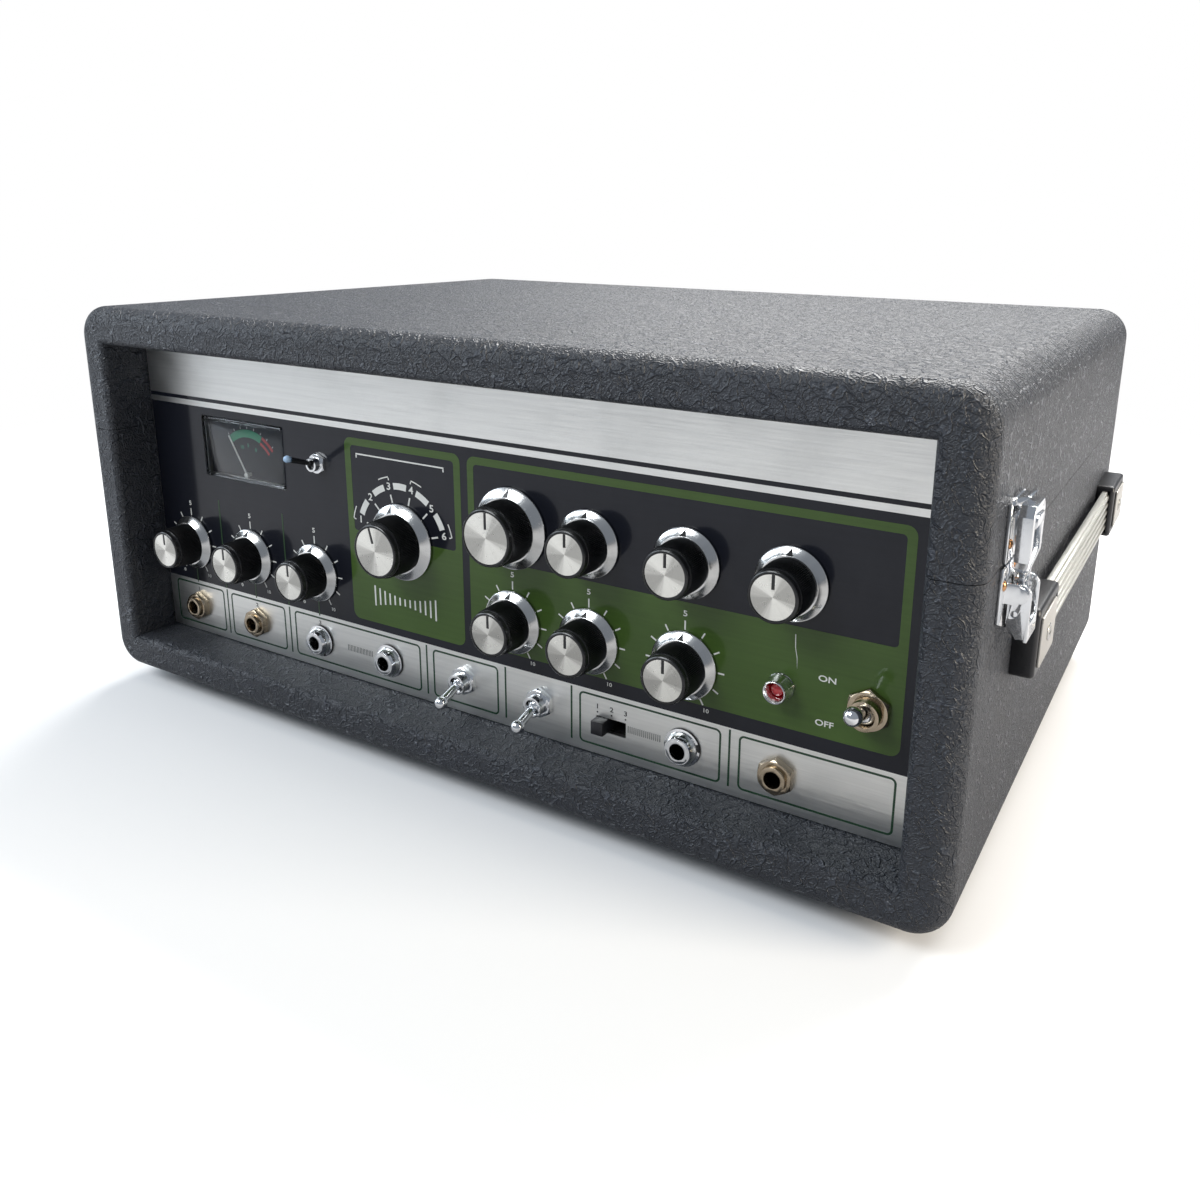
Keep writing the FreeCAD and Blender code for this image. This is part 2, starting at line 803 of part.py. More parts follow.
def make_latch_plates():
    half = latch_plate_w / 2
    top = z_split - lid_gap
    low = top - latch_plate_h
    plate = side_plate([(-half, top), (half, top), (half, low + latch_tip_h), (0, low - latch_tip_h),
                        (-half, low + latch_tip_h)], 0, latch_t)
    ear_in = lever_half + latch_gap
    solids = [plate]
    for side in (-1, 1):
        y0 = latch_y + side * ear_in
        y1 = latch_y + side * (ear_in + latch_t)
        ear = box(half_w, pin_x, min(y0, y1), max(y0, y1), pin_z - lever_eye_r, pin_z + lever_eye_r)
        eye = rod(pin_x, min(y0, y1), pin_z, (0, 1, 0), lever_eye_r - 0.6, latch_t)
        y_in = latch_y + side * (lever_half - latch_t - latch_gap / 3)
        pin = rod(pin_x, min(y_in, y1), pin_z, (0, 1, 0), latch_pin_r, abs(y1 - y_in))
        solids += [ear, eye, pin]
    both_sides("latch_plates", [joined(solids)])


def make_latch_levers():
    """A channel with its web below the loop's pins, so that the loop can swing out."""
    web_x = pin_x + lever_eye_r - latch_t
    tip_z = loop_pin_z - lever_len
    cheeks = []
    for side in (-1, 1):
        y0 = latch_y + side * lever_half
        y1 = latch_y + side * (lever_half - latch_t)
        low_y, high_y = min(y0, y1), max(y0, y1)
        eye = rod(pin_x, low_y, pin_z, (0, 1, 0), lever_eye_r, latch_t)
        outline = [
            Vector(pin_x + lever_eye_r, low_y, pin_z), Vector(pin_x - lever_eye_r, low_y, pin_z),
            Vector(pin_x - lever_eye_r, low_y, loop_pin_z - lever_eye_r), Vector(pin_x, low_y, tip_z),
            Vector(pin_x + lever_eye_r, low_y, tip_z + latch_t),
        ]
        arm = Part.Face(Part.makePolygon(outline + [outline[0]])).extrude(Vector(0, latch_t, 0))
        cheek = eye.fuse(arm)
        cheek = cheek.cut(rod(pin_x, low_y, pin_z, (0, 1, 0), latch_pin_r + shaft_gap, latch_t))
        cheek = cheek.cut(rod(loop_pin_x, low_y, loop_pin_z, (0, 1, 0), loop_pin_r + shaft_gap, latch_t))
        cheeks.append(cheek)
    web = box(web_x, web_x + latch_t, latch_y - lever_half, latch_y + lever_half,
              tip_z - 1.0, loop_pin_z - lever_eye_r + 0.3)
    both_sides("latch_lever", [joined(cheeks + [web])], True)


def make_latch_loops():
    """A stamped loop: two legs from the lever's pins to a bar over the keeper."""
    leg_out = lever_half - latch_t - latch_gap
    leg_in = leg_out - loop_leg
    wide_in = loop_half - loop_leg - 1.0
    low = loop_pin_z - loop_pin_r - 1.0
    bend = z_split - 4.0
    flare = z_split + 1.5
    top = z_split + loop_top
    bar_low = top - loop_bar
    outer = [
        (-leg_out, low), (-leg_out, bend), (-loop_half, flare), (-loop_half, top - loop_corner),
        (-loop_half + loop_corner, top), (loop_half - loop_corner, top), (loop_half, top - loop_corner),
        (loop_half, flare), (leg_out, bend), (leg_out, low),
    ]
    inner = [
        (leg_in, low), (leg_in, bend + 1.0), (wide_in, flare + 1.0), (wide_in, bar_low),
        (-wide_in, bar_low), (-wide_in, flare + 1.0), (-leg_in, bend + 1.0), (-leg_in, low),
    ]
    w0 = latch_pin_up - loop_pin_back - loop_t / 2
    loop = side_plate(outer + inner, w0, w0 + loop_t)
    pins = []
    for side in (-1, 1):
        y0 = latch_y + side * leg_in
        y1 = latch_y + side * (lever_half - latch_gap / 2)
        pins.append(rod(loop_pin_x, min(y0, y1), loop_pin_z, (0, 1, 0), loop_pin_r, abs(y1 - y0)))
    both_sides("latch_loop", [joined([loop] + pins)], True)


def make_latch_keepers():
    half = keeper_w / 2
    low = z_split + 2 * lid_gap
    hook_top = z_split + loop_top - loop_bar - latch_gap
    top = z_split + keeper_top
    plate = side_plate([
        (-half, low), (half, low), (half, top - latch_tip_h), (half - latch_tip_h, top),
        (latch_tip_h - half, top), (-half, top - latch_tip_h),
    ], 0, latch_t)
    x0 = half_w
    outline = [
        (x0, hook_top), (x0 + keeper_reach, hook_top), (x0 + keeper_reach, hook_top - keeper_nose),
        (x0 + latch_t, z_split + keeper_low), (x0, z_split + keeper_low),
    ]
    points = [Vector(a, latch_y - keeper_half, b) for a, b in outline]
    hook = Part.Face(Part.makePolygon(points + [points[0]])).extrude(Vector(0, 2 * keeper_half, 0))
    flap = [
        (x0, hook_top + loop_bar + 1.2), (x0 + latch_t, hook_top + loop_bar + 1.2),
        (x0 + latch_pin_up, top + lip_rise), (x0 + latch_pin_up - latch_t, top + lip_rise + latch_t / 2),
        (x0, top - 2 * lip_rise),
    ]
    points = [Vector(a, latch_y - keeper_half, b) for a, b in flap]
    lip = Part.Face(Part.makePolygon(points + [points[0]])).extrude(Vector(0, 2 * keeper_half, 0))
    both_sides("latch_keepers", [joined([plate, hook, lip])])


def make_handle():
    z_mid = z_base + handle_v
    caps = []
    inlays = []
    y_starts = (y_front + handle_front, y_front + handle_front + handle_len - handle_cap_len)
    strap_y0 = y_starts[0] + handle_cap_len - strap_in_cap
    strap_y1 = y_starts[1] + strap_in_cap
    rib_h = strap_w / (2 * strap_ribs + 1)
    outline = [(half_w + strap_off, z_mid - strap_w / 2), (half_w + strap_off, z_mid + strap_w / 2)]
    face_x = half_w + strap_off + strap_t
    for i in range(2 * strap_ribs + 1):
        z_high = z_mid + strap_w / 2 - i * rib_h
        x_here = face_x + (strap_rib_t if i % 2 else 0)
        outline += [(x_here, z_high), (x_here, z_high - rib_h)]
    points = [Vector(a, strap_y0, b) for a, b in outline]
    strap = Part.Face(Part.makePolygon(points + [points[0]])).extrude(Vector(0, strap_y1 - strap_y0, 0))
    save("handle_strap", one(strap))
    for i, y0 in enumerate(y_starts):
        block = box(half_w, half_w + handle_cap_t, y0, y0 + handle_cap_len,
                    z_mid - handle_cap_h / 2, z_mid + handle_cap_h / 2)
        posts = [e for e in block.Edges if e.BoundBox.XLength > handle_cap_t / 2]
        block = block.makeFillet(handle_cap_r, posts)
        outer = [e for e in block.Edges if e.BoundBox.XMin > half_w + handle_cap_t - 1e-6]
        block = block.makeFillet(handle_cap_r / 2, outer)
        pocket = box(half_w + strap_off - latch_gap, face_x + strap_rib_t + latch_gap,
                     strap_y0 - latch_gap if i == 0 else y0 - 1,
                     y0 + handle_cap_len + 1 if i == 0 else strap_y1 + latch_gap,
                     z_mid - strap_w / 2 - latch_gap, z_mid + strap_w / 2 + latch_gap)
        outer_end = -1 if i == 0 else 1
        y_mid = y0 + handle_cap_len / 2
        groove_y = y_mid - outer_end * (handle_cap_len / 2 - groove_from_end)
        groove = rounded_plate(groove_w, groove_len, groove_w * 0.49, groove_deep)
        groove = on_side(groove, handle_cap_t - groove_deep, groove_y, z_mid)
        caps.append(without(block, [pocket, groove]))
        plate = rounded_plate(inlay_len, inlay_h, inlay_r, inlay_t)
        inlays.append(on_side(plate, handle_cap_t, y_mid + outer_end * inlay_shift, z_mid))
    save("handle_caps", caps)
    save("handle_inlays", inlays)


def knuckle(x0, x1, bore):
    y = y_back + hinge_out
    z = z_split
    tube = rod(x0, y, z, (1, 0, 0), hinge_r, x1 - x0)
    if bore:
        tube = tube.cut(rod(x0, y, z, (1, 0, 0), hinge_pin_r + shaft_gap, x1 - x0))
    return tube


def make_hinges():
    case_leaves = []
    lid_leaves = []
    y0, y1 = y_back, y_back + hinge_t
    barrel_y = y_back + hinge_out
    for side in (-1, 1):
        left = side * hinge_x - hinge_len / 2
        middle = side * hinge_x
        right = left + hinge_len
        web_z = hinge_r * 0.9
        leaf = box(left, right, y0, y1, z_split - hinge_leaf, z_split - web_z)
        neck = box(left, middle - hinge_gap, y0, barrel_y, z_split - web_z - hinge_t, z_split - web_z + 0.6)
        tube = knuckle(left, middle - hinge_gap, False)
        pin = rod(left, barrel_y, z_split, (1, 0, 0), hinge_pin_r, hinge_len)
        case_leaves.append(joined([leaf, neck, tube, pin]))
        leaf = box(left, right, y0, y1, z_split + web_z, z_split + hinge_leaf)
        neck = box(middle + hinge_gap, right, y0, barrel_y, z_split + web_z - 0.6, z_split + web_z + hinge_t)
        tube = knuckle(middle + hinge_gap, right, True)
        bore = rod(left, barrel_y, z_split, (1, 0, 0), hinge_pin_r + shaft_gap, hinge_len)
        lid_leaves.append(without(joined([leaf, neck, tube]), [bore]))
    save("hinge_leaves_case", case_leaves)
    save("hinge_leaves_lid", lid_leaves)


def make_back_plate():
    z_mid = z_base + back_v
    half_x = back_w / 2 + back_lap
    half_z = back_h / 2 + back_lap
    plate = box(-half_x, half_x, in_back - back_t, in_back, z_mid - half_z, z_mid + half_z)
    cuts = []
    for i in range(vent_count):
        x = vent_x + (i - (vent_count - 1) / 2) * vent_pitch
        cuts.append(box(x - vent_w / 2, x + vent_w / 2, in_back - back_t - 1, in_back + 1,
                        z_mid - vent_h / 2, z_mid + vent_h / 2))
    cuts.append(box(inlet_x - inlet_w / 2, inlet_x + inlet_w / 2, in_back - back_t - 1, in_back + 1,
                    z_mid - inlet_h / 2, z_mid + inlet_h / 2))
    save("back_plate", without(plate, cuts))
    core = rounded_plate(inlet_w - 2 * hole_gap, inlet_h - 2 * hole_gap, inlet_corner, inlet_deep)
    lip = rounded_plate(inlet_w + 2 * inlet_lip, inlet_h + 2 * inlet_lip, inlet_corner, inlet_lip)
    lip.translate(Vector(0, 0, inlet_deep))
    well = rounded_plate(inlet_w - 2 * inlet_lip, inlet_h - 2 * inlet_lip, inlet_corner / 2, inlet_deep)
    well.translate(Vector(0, 0, inlet_lip * 2))
    shell = without(joined([core, lip]), [well])
    pins = []
    for dx, dz in ((-inlet_pin_gap, 0), (inlet_pin_gap, 0), (0, inlet_pin_gap / 2)):
        pins.append(box(dx - inlet_pin_w / 2, dx + inlet_pin_w / 2, dz - inlet_pin_h / 2,
                        dz + inlet_pin_h / 2, inlet_lip * 2, inlet_lip + inlet_pin_out))
    placed = []
    for solid in [shell] + pins:
        solid.rotate(Vector(0, 0, 0), Vector(1, 0, 0), -90)
        solid.translate(Vector(inlet_x, in_back - inlet_deep, z_mid))
        placed.append(solid)
    save("mains_inlet", placed)


def make_floor_parts():
    floor = z_floor + sheet_t
    y_mid = (y_inside + in_back) / 2
    plate = box(board_x - board_len / 2, board_x + board_len / 2, y_mid - board_d / 2, y_mid + board_d / 2,
                floor + board_up, floor + board_up + board_t)
    solids = [plate]
    for sx in (-1, 1):
        for sy in (-1, 1):
            post_x = board_x + sx * (board_len / 2 - 2 * post_r)
            post_y = y_mid + sy * (board_d / 2 - 2 * post_r)
            solids.append(rod(post_x, post_y, floor, (0, 0, 1), post_r, board_up))
    save("circuit_board", solids)
    core = box(core_x - core_w / 2, core_x + core_w / 2, y_mid - core_d / 2, y_mid + core_d / 2,
               floor, floor + core_h)
    coil_half = core_d / 2 + coil_over
    coil = box(core_x - core_w / 4, core_x + core_w / 4, y_mid - coil_half, y_mid + coil_half,
               floor + core_h / 4, floor + core_h * 3 / 4)
    coil = coil.makeFillet(coil_r, [e for e in coil.Edges if e.BoundBox.XLength > core_w / 4])
    save("transformer", joined([core, coil]))


def make_deck():
    y0 = y_inside + deck_from_sheet
    y1 = in_back - sheet_gap
    plate = box(-in_x + sheet_gap, in_x - sheet_gap, y0, y1, deck_top - deck_t, deck_top)
    hole = rod(capstan_x, capstan_y, deck_top - deck_t, (0, 0, 1), motor_boss_r + hole_gap, deck_t)
    save("deck_plate", without(plate, [hole]))
    z_top_leg = deck_top - deck_t
    rails = []
    for side in (-1, 1):
        wall_x = side * in_x
        outline = [
            (wall_x, z_top_leg), (wall_x - side * rail_leg, z_top_leg),
            (wall_x - side * rail_leg, z_top_leg - rail_t),
            (wall_x - side * rail_t, z_top_leg - rail_t), (wall_x - side * rail_t, z_top_leg - rail_leg),
            (wall_x, z_top_leg - rail_leg),
        ]
        points = [Vector(a, y0, b) for a, b in outline]
        rails.append(Part.Face(Part.makePolygon(points + [points[0]])).extrude(Vector(0, y1 - y0, 0)))
    save("deck_rails", rails)


def make_tape_tray():
    width = tray_x1 - tray_x0
    depth = tray_y1 - tray_y0
    mid = Vector((tray_x0 + tray_x1) / 2, y_inside + (tray_y0 + tray_y1) / 2, deck_top)
    outer = rounded_plate(width, depth, tray_r, tray_h)
    inner = rounded_plate(width - 2 * tray_wall, depth - 2 * tray_wall, tray_r - tray_wall, tray_h)
    inner.translate(Vector(0, 0, tray_floor))
    tray = outer.cut(inner)
    tray.translate(mid)
    z0 = deck_top + tray_floor
    slot_out = box(-tape_x - slot_half, -tape_x + slot_half, y_inside + tray_y0 - 1,
                   y_inside + tray_y0 + tray_wall + 1, z0, deck_top + tray_h + 1)
    slot_in = box(tray_x1 - tray_wall - 1, tray_x1 + 1, y_inside + tape_in_y - slot_half,
                  y_inside + tape_in_y + slot_half, z0, deck_top + tray_h + 1)
    save("tape_tray", without(tray, [slot_out, slot_in]))
    cover = rounded_plate(width + 2 * cover_lip, depth + 2 * cover_lip, tray_r + cover_lip, cover_t)
    cover.translate(mid + Vector(0, 0, tray_h))
    save("tray_cover", one(cover))


def make_tape():
    """The endless loop: past the heads and the capstan, then folded in the tray."""
    y0 = y_inside
    turn = tape_guide_r + tape_t / 2
    fold_r = fold_pitch * 0.48
    corners = [
        (-tape_x, y0 + tape_y, turn), (tape_x, y0 + tape_y, turn), (tape_x, y0 + tape_in_y, turn),
        (fold_first, y0 + tape_in_y, turn * 2),
    ]
    for i in range(fold_count - 1):
        x = fold_first - i * fold_pitch
        y = y0 + (fold_high if i % 2 else fold_low)
        corners += [(x, y, fold_r), (x - fold_pitch, y, fold_r)]
    fold_last = fold_first - (fold_count - 1) * fold_pitch
    corners += [(fold_last, y0 + fold_low, turn), (-tape_x, y0 + fold_low, turn)]
    centre = rounded_path(corners, tape_z)
    outer = Part.Face(centre.makeOffset2D(tape_t / 2))
    inner = Part.Face(centre.makeOffset2D(-tape_t / 2))
    save("tape_loop", one(outer.cut(inner).extrude(Vector(0, 0, tape_w))))


def make_deck_posts():
    """Flanged posts that the tape turns round, and the stud of the pinch arm."""
    flange_r = tape_guide_r + guide_flange
    waist_r = tape_guide_r - tape_gap
    low = tape_up - guide_room
    high = tape_up + tape_w + guide_room
    profile = [
        (0, 0), (flange_r, 0), (flange_r, low), (waist_r, low), (waist_r, high), (flange_r, high),
        (flange_r, high + guide_flange_t), (0, high + guide_flange_t),
    ]
    inset = tape_guide_r + tape_t / 2
    posts = []
    left, right, near = inset - tape_x, tape_x - inset, tape_y + inset
    for x, y in ((left, near), (right, near), (right, tape_in_y - inset)):
        post = turned(profile)
        post.translate(Vector(x, y_inside + y, deck_top))
        posts.append(post)
    stud_h = roller_up + roller_h
    stud = turned([
        (0, 0), (arm_w / 2, 0), (arm_w / 2, stud_h), (arm_pin_r, stud_h),
        (arm_pin_r, stud_h + arm_t + 2 * arm_gap), (0, stud_h + arm_t + 2 * arm_gap),
    ])
    stud.translate(Vector(arm_x, arm_y, deck_top))
    save("deck_posts", posts + [stud])


def make_heads():
    face_y = y_inside + tape_y - tape_t / 2 - tape_gap
    plate_y0 = face_y - head_d - 2.0
    x0 = head_xs[0] - head_w / 2 - head_plate_over
    x1 = head_xs[-1] + head_w / 2 + head_plate_over
    plate = box(x0, x1, plate_y0, face_y - head_nose, deck_top, deck_top + head_plate_t)
    heads = []
    for x in head_xs:
        half = head_w / 2
        z0 = deck_top + head_plate_t
        start = Vector(x - half, face_y - head_nose, z0)
        end = Vector(x + half, face_y - head_nose, z0)
        back_left = Vector(x - half, face_y - head_d, z0)
        back_right = Vector(x + half, face_y - head_d, z0)
        wire = Part.Wire([
            Part.Arc(start, Vector(x, face_y, z0), end).toShape(),
            Part.LineSegment(end, back_right).toShape(),
            Part.LineSegment(back_right, back_left).toShape(),
            Part.LineSegment(back_left, start).toShape(),
        ])
        heads.append(Part.Face(wire).extrude(Vector(0, 0, head_h)))
    save("tape_heads", heads)
    return plate


def make_pads(head_plate):
    """Felt pads on leaf arms that press the tape on the heads."""
    face_y = y_inside + tape_y + tape_t / 2 + tape_gap
    rail_y = y_inside + pad_rail_y
    x0 = head_xs[0] - head_w
    x1 = head_xs[-1] + head_w
    rail = box(x0, x1, rail_y, rail_y + pad_rail_d, deck_top, deck_top + tape_up + tape_w)
    arms = [rail]
    pads = []
    back_y = face_y + pad_t
    top = tape_z + tape_w
    for x in head_xs:
        right = x + pad_w / 2
        pads.append(box(x - pad_w / 2, right, face_y, back_y, tape_z, top))
        arms.append(box(x - pad_w / 2, right, back_y, back_y + pad_arm_t, tape_z, top))
        arms.append(box(right - pad_arm_t, right, back_y, rail_y, tape_z, top))
    save("head_brackets", [head_plate, joined(arms)])
    save("pressure_pads", pads)


def make_capstan():
    base = deck_top - deck_t
    can = rod(capstan_x, capstan_y, base - motor_h, (0, 0, 1), motor_r, motor_h)
    boss = rod(capstan_x, capstan_y, base, (0, 0, 1), motor_boss_r, deck_t + 1.0)
    bore = rod(capstan_x, capstan_y, base - motor_h / 2, (0, 0, 1), capstan_r + shaft_gap, motor_h)
    save("capstan_motor", without(joined([can, boss]), [bore]))
    shaft = rod(capstan_x, capstan_y, base - motor_h / 2 + shaft_gap, (0, 0, 1), capstan_r,
                motor_h / 2 + deck_t + capstan_h)
    save("capstan", shaft)


def make_pinch_roller():
    z0 = deck_top + roller_up
    roller = rod(capstan_x, roller_y, z0, (0, 0, 1), roller_r, roller_h)
    roller = roller.cut(rod(capstan_x, roller_y, z0, (0, 0, 1), roller_pin_r + shaft_gap, roller_h))
    save("pinch_roller", one(roller))
    arm_z = z0 + roller_h + arm_gap
    run = math.hypot(arm_x - capstan_x, arm_y - roller_y)
    angle = math.degrees(math.atan2(roller_y - arm_y, capstan_x - arm_x))
    bar = box(0, run, -arm_w / 2, arm_w / 2, 0, arm_t)
    bar.rotate(Vector(0, 0, 0), Vector(0, 0, 1), angle)
    bar.translate(Vector(arm_x, arm_y, arm_z))
    ends = [rod(x, y, arm_z, (0, 0, 1), arm_w / 2, arm_t) for x, y in ((arm_x, arm_y), (capstan_x, roller_y))]
    pin = rod(capstan_x, roller_y, z0, (0, 0, 1), roller_pin_r, roller_h + arm_gap)
    bore = rod(arm_x, arm_y, arm_z, (0, 0, 1), arm_pin_r + shaft_gap, arm_t)
    save("pinch_arm", without(joined([bar] + ends + [pin]), [bore]))


def main():
    os.makedirs("parts", exist_ok=True)
    make_case_and_lid()
    make_feet()
    make_panel_and_chassis()
    make_knobs()
    make_pots()
    make_jacks()
    make_toggles()
    make_slide_switch()
    make_meter()
    make_lamp()
    make_latch_plates()
    make_latch_levers()
    make_latch_loops()
    make_latch_keepers()
    make_handle()
    make_hinges()
    make_back_plate()
    make_floor_parts()
    make_deck()
    make_tape_tray()
    make_tape()
    make_deck_posts()
    head_plate = make_heads()
    make_pads(head_plate)
    make_capstan()
    make_pinch_roller()


if __name__ == "__main__":
    main()
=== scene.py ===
"""Looks of a tape echo unit: covering, printed panel, knobs, switches, latches, handle and tape deck."""

import json
import math

import bmesh
import bpy
from mathutils import Matrix, Vector

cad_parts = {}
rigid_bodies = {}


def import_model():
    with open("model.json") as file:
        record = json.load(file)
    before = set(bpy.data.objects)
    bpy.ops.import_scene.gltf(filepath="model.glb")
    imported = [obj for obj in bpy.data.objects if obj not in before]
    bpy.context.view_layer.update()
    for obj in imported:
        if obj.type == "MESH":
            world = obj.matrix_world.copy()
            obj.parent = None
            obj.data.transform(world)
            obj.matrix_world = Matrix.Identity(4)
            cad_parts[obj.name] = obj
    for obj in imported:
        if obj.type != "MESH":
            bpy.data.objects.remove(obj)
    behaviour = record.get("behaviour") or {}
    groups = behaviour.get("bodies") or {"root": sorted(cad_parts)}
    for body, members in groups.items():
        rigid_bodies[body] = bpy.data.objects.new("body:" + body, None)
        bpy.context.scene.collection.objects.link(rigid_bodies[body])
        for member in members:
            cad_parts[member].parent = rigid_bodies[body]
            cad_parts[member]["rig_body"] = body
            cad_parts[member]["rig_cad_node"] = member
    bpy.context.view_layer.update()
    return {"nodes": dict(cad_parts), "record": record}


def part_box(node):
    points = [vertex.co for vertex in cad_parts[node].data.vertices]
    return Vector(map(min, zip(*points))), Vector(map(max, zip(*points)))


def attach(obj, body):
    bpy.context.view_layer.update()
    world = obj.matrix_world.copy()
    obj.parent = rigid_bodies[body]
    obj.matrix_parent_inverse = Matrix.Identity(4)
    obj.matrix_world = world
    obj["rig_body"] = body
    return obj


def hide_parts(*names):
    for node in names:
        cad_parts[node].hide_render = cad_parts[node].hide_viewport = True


bl_info = {
    "name": "Tape Echo Unit",
    "version": (1, 0, 0),
    "blender": (4, 5, 0),
    "location": "View3D > Sidebar > Echo",
    "description": "Dresses the packed tape echo unit and sets its stage",
    "category": "Object",
}

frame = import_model()

MM = 0.001
BODY_OF = {n: b for b, ns in frame["record"]["behaviour"]["bodies"].items() for n in ns}
FACE_FRONT = Matrix.Rotation(math.pi / 2, 4, "X")
FACE_BACK = Matrix.Rotation(-math.pi / 2, 4, "X")
FACE_RIGHT = Matrix.Rotation(math.pi / 2, 4, "Y")
FACE_LEFT = Matrix.Rotation(-math.pi / 2, 4, "Y")
FACE_DOWN = Matrix.Rotation(math.pi, 4, "X")

# Places on the panel in millimetres: x from the middle, v up from the cabinet's underside
FOOT_H = 8.0
FIELD = (-189.2, 189.2, 44.0, 131.9)
TOP_LINE = (-189.2, 189.2, 134.5, 136.2)
MODE_BOX = ((-61.8, 0.9, 47.4, 128.6), (-58.4, -2.4, 88.1, 125.4))
MAIN_BOX = ((4.5, 182.1, 49.8, 128.6), (7.6, 178.9, 87.8, 125.5))
STRIP_TOP = 42.3
STRIP_LOW = 20.8
STRIP_BOXES = (
    (-184.6, -149.5), (-144.4, -106.9), (-100.6, -24.0), (-17.2, 17.6), (57.0, 118.1), (125.0, 182.0),
)
STRIP_LINES = (-147.0, -103.8, -20.6, 21.2, 53.4, 121.4)
DIVIDERS = (-147.0, -103.8)
DIAL_KNOBS = ("knob_level_1", "knob_level_2", "knob_level_3", "knob_rate", "knob_intensity", "knob_echo")
MINI_HOLE_V = 114.8
MINI_HOLE_R = 2.9
POWER_HOLE_V = 64.4
POWER_HOLE_R = 5.1
LAMP_HOLE_R = 4.8
DIAL_TURN = 150
DIAL_STEP = 30
METER_PIVOT_V = 102.7
SOCKET_Z = 39.0
HATCH = (79.2, 93.0, 30.2, 33.0)
SLIDE_MARKS = (65.4, 71.8, 78.0)
MODE_STEPS = (-75, -45, -15, 15, 45, 75)
MODE_REST = -15

LARGE_KNOB = {"skirt": 16.5, "body": 12.4, "collar": 11.3, "cap": 10.2, "flutes": 116}
SMALL_KNOB = {"skirt": 13.2, "body": 9.9, "collar": 9.0, "cap": 7.85, "flutes": 92}
KNOBS = {
    "knob_level_1": SMALL_KNOB, "knob_level_2": SMALL_KNOB, "knob_level_3": SMALL_KNOB,
    "knob_mode": LARGE_KNOB, "knob_drive": LARGE_KNOB, "knob_bass": SMALL_KNOB,
    "knob_treble": SMALL_KNOB, "knob_reverb": SMALL_KNOB, "knob_rate": SMALL_KNOB,
    "knob_intensity": SMALL_KNOB, "knob_echo": SMALL_KNOB,
}

# The camera that the photograph was taken with, fitted to the cabinet's corners
CAMERA_PLACE = (0.26182, -0.43433, 0.22735)
CAMERA_AZIMUTH = 30.61
CAMERA_ELEVATION = 15.06
CAMERA_ROLL = 0.66
CAMERA_LENS = 31.19
CAMERA_SHIFT = (-0.0272, -0.0865)


def colour_prop(name, description, default):
    return bpy.props.FloatVectorProperty(
        name=name, description=description, default=default, size=3, subtype="COLOR", min=0, max=1
    )


def length_prop(name, description, default):
    return bpy.props.FloatProperty(
        name=name, description=description, default=default, unit="LENGTH", precision=5,
    )


class EchoSizes(bpy.types.PropertyGroup):
    """Sizes of the finer work, in metres."""

    print_thick: length_prop("Print thickness", "How far each printed layer stands off the panel", 0.00005)
    flute_deep: length_prop("Flute depth", "Depth of the flutes round a knob", 0.00045)
    tick_wide: length_prop("Tick width", "Width of the ticks round a dial", 0.0006)
    strip_line: length_prop("Strip line", "Width of the lines round the sockets", 0.0008)


class EchoColours(bpy.types.PropertyGroup):
    """Colours of the finishes, as linear values."""

    covering: colour_prop("Covering", "Grained covering of the cabinet", (0.024, 0.027, 0.034))
    aluminium: colour_prop("Panel metal", "Brushed panel", (0.86, 0.86, 0.83))
    black_field: colour_prop("Black field", "Black lacquer on the panel", (0.006, 0.007, 0.012))
    green_field: colour_prop("Green field", "Green lacquer on the panel", (0.046, 0.088, 0.016))
    strip_green: colour_prop("Strip green", "Dark green lines on bare metal", (0.012, 0.045, 0.020))
    ink: colour_prop("White ink", "White printing", (0.72, 0.72, 0.68))
    knob: colour_prop("Knob plastic", "Black fluted plastic", (0.010, 0.010, 0.011))
    lamp: colour_prop("Lamp lens", "Red lens of the pilot lamp", (0.40, 0.004, 0.010))
    nickel: colour_prop("Worn nickel", "Hexagon nuts", (0.46, 0.38, 0.28))


class Wire:
    """A node's output that can be used in sums."""

    def __init__(self, graph, socket):
        self.graph = graph
        self.socket = socket

    def maths(self, operation, *inputs):
        return self.graph.node("ShaderNodeMath", {"operation": operation}, dict(enumerate(inputs)))

    def __add__(self, other):
        return self.maths("ADD", self, other)

    def __sub__(self, other):
        return self.maths("SUBTRACT", self, other)

    def __mul__(self, other):
        return self.maths("MULTIPLY", self, other)

    def __truediv__(self, other):
        return self.maths("DIVIDE", self, other)

    __radd__ = __add__
    __rmul__ = __mul__


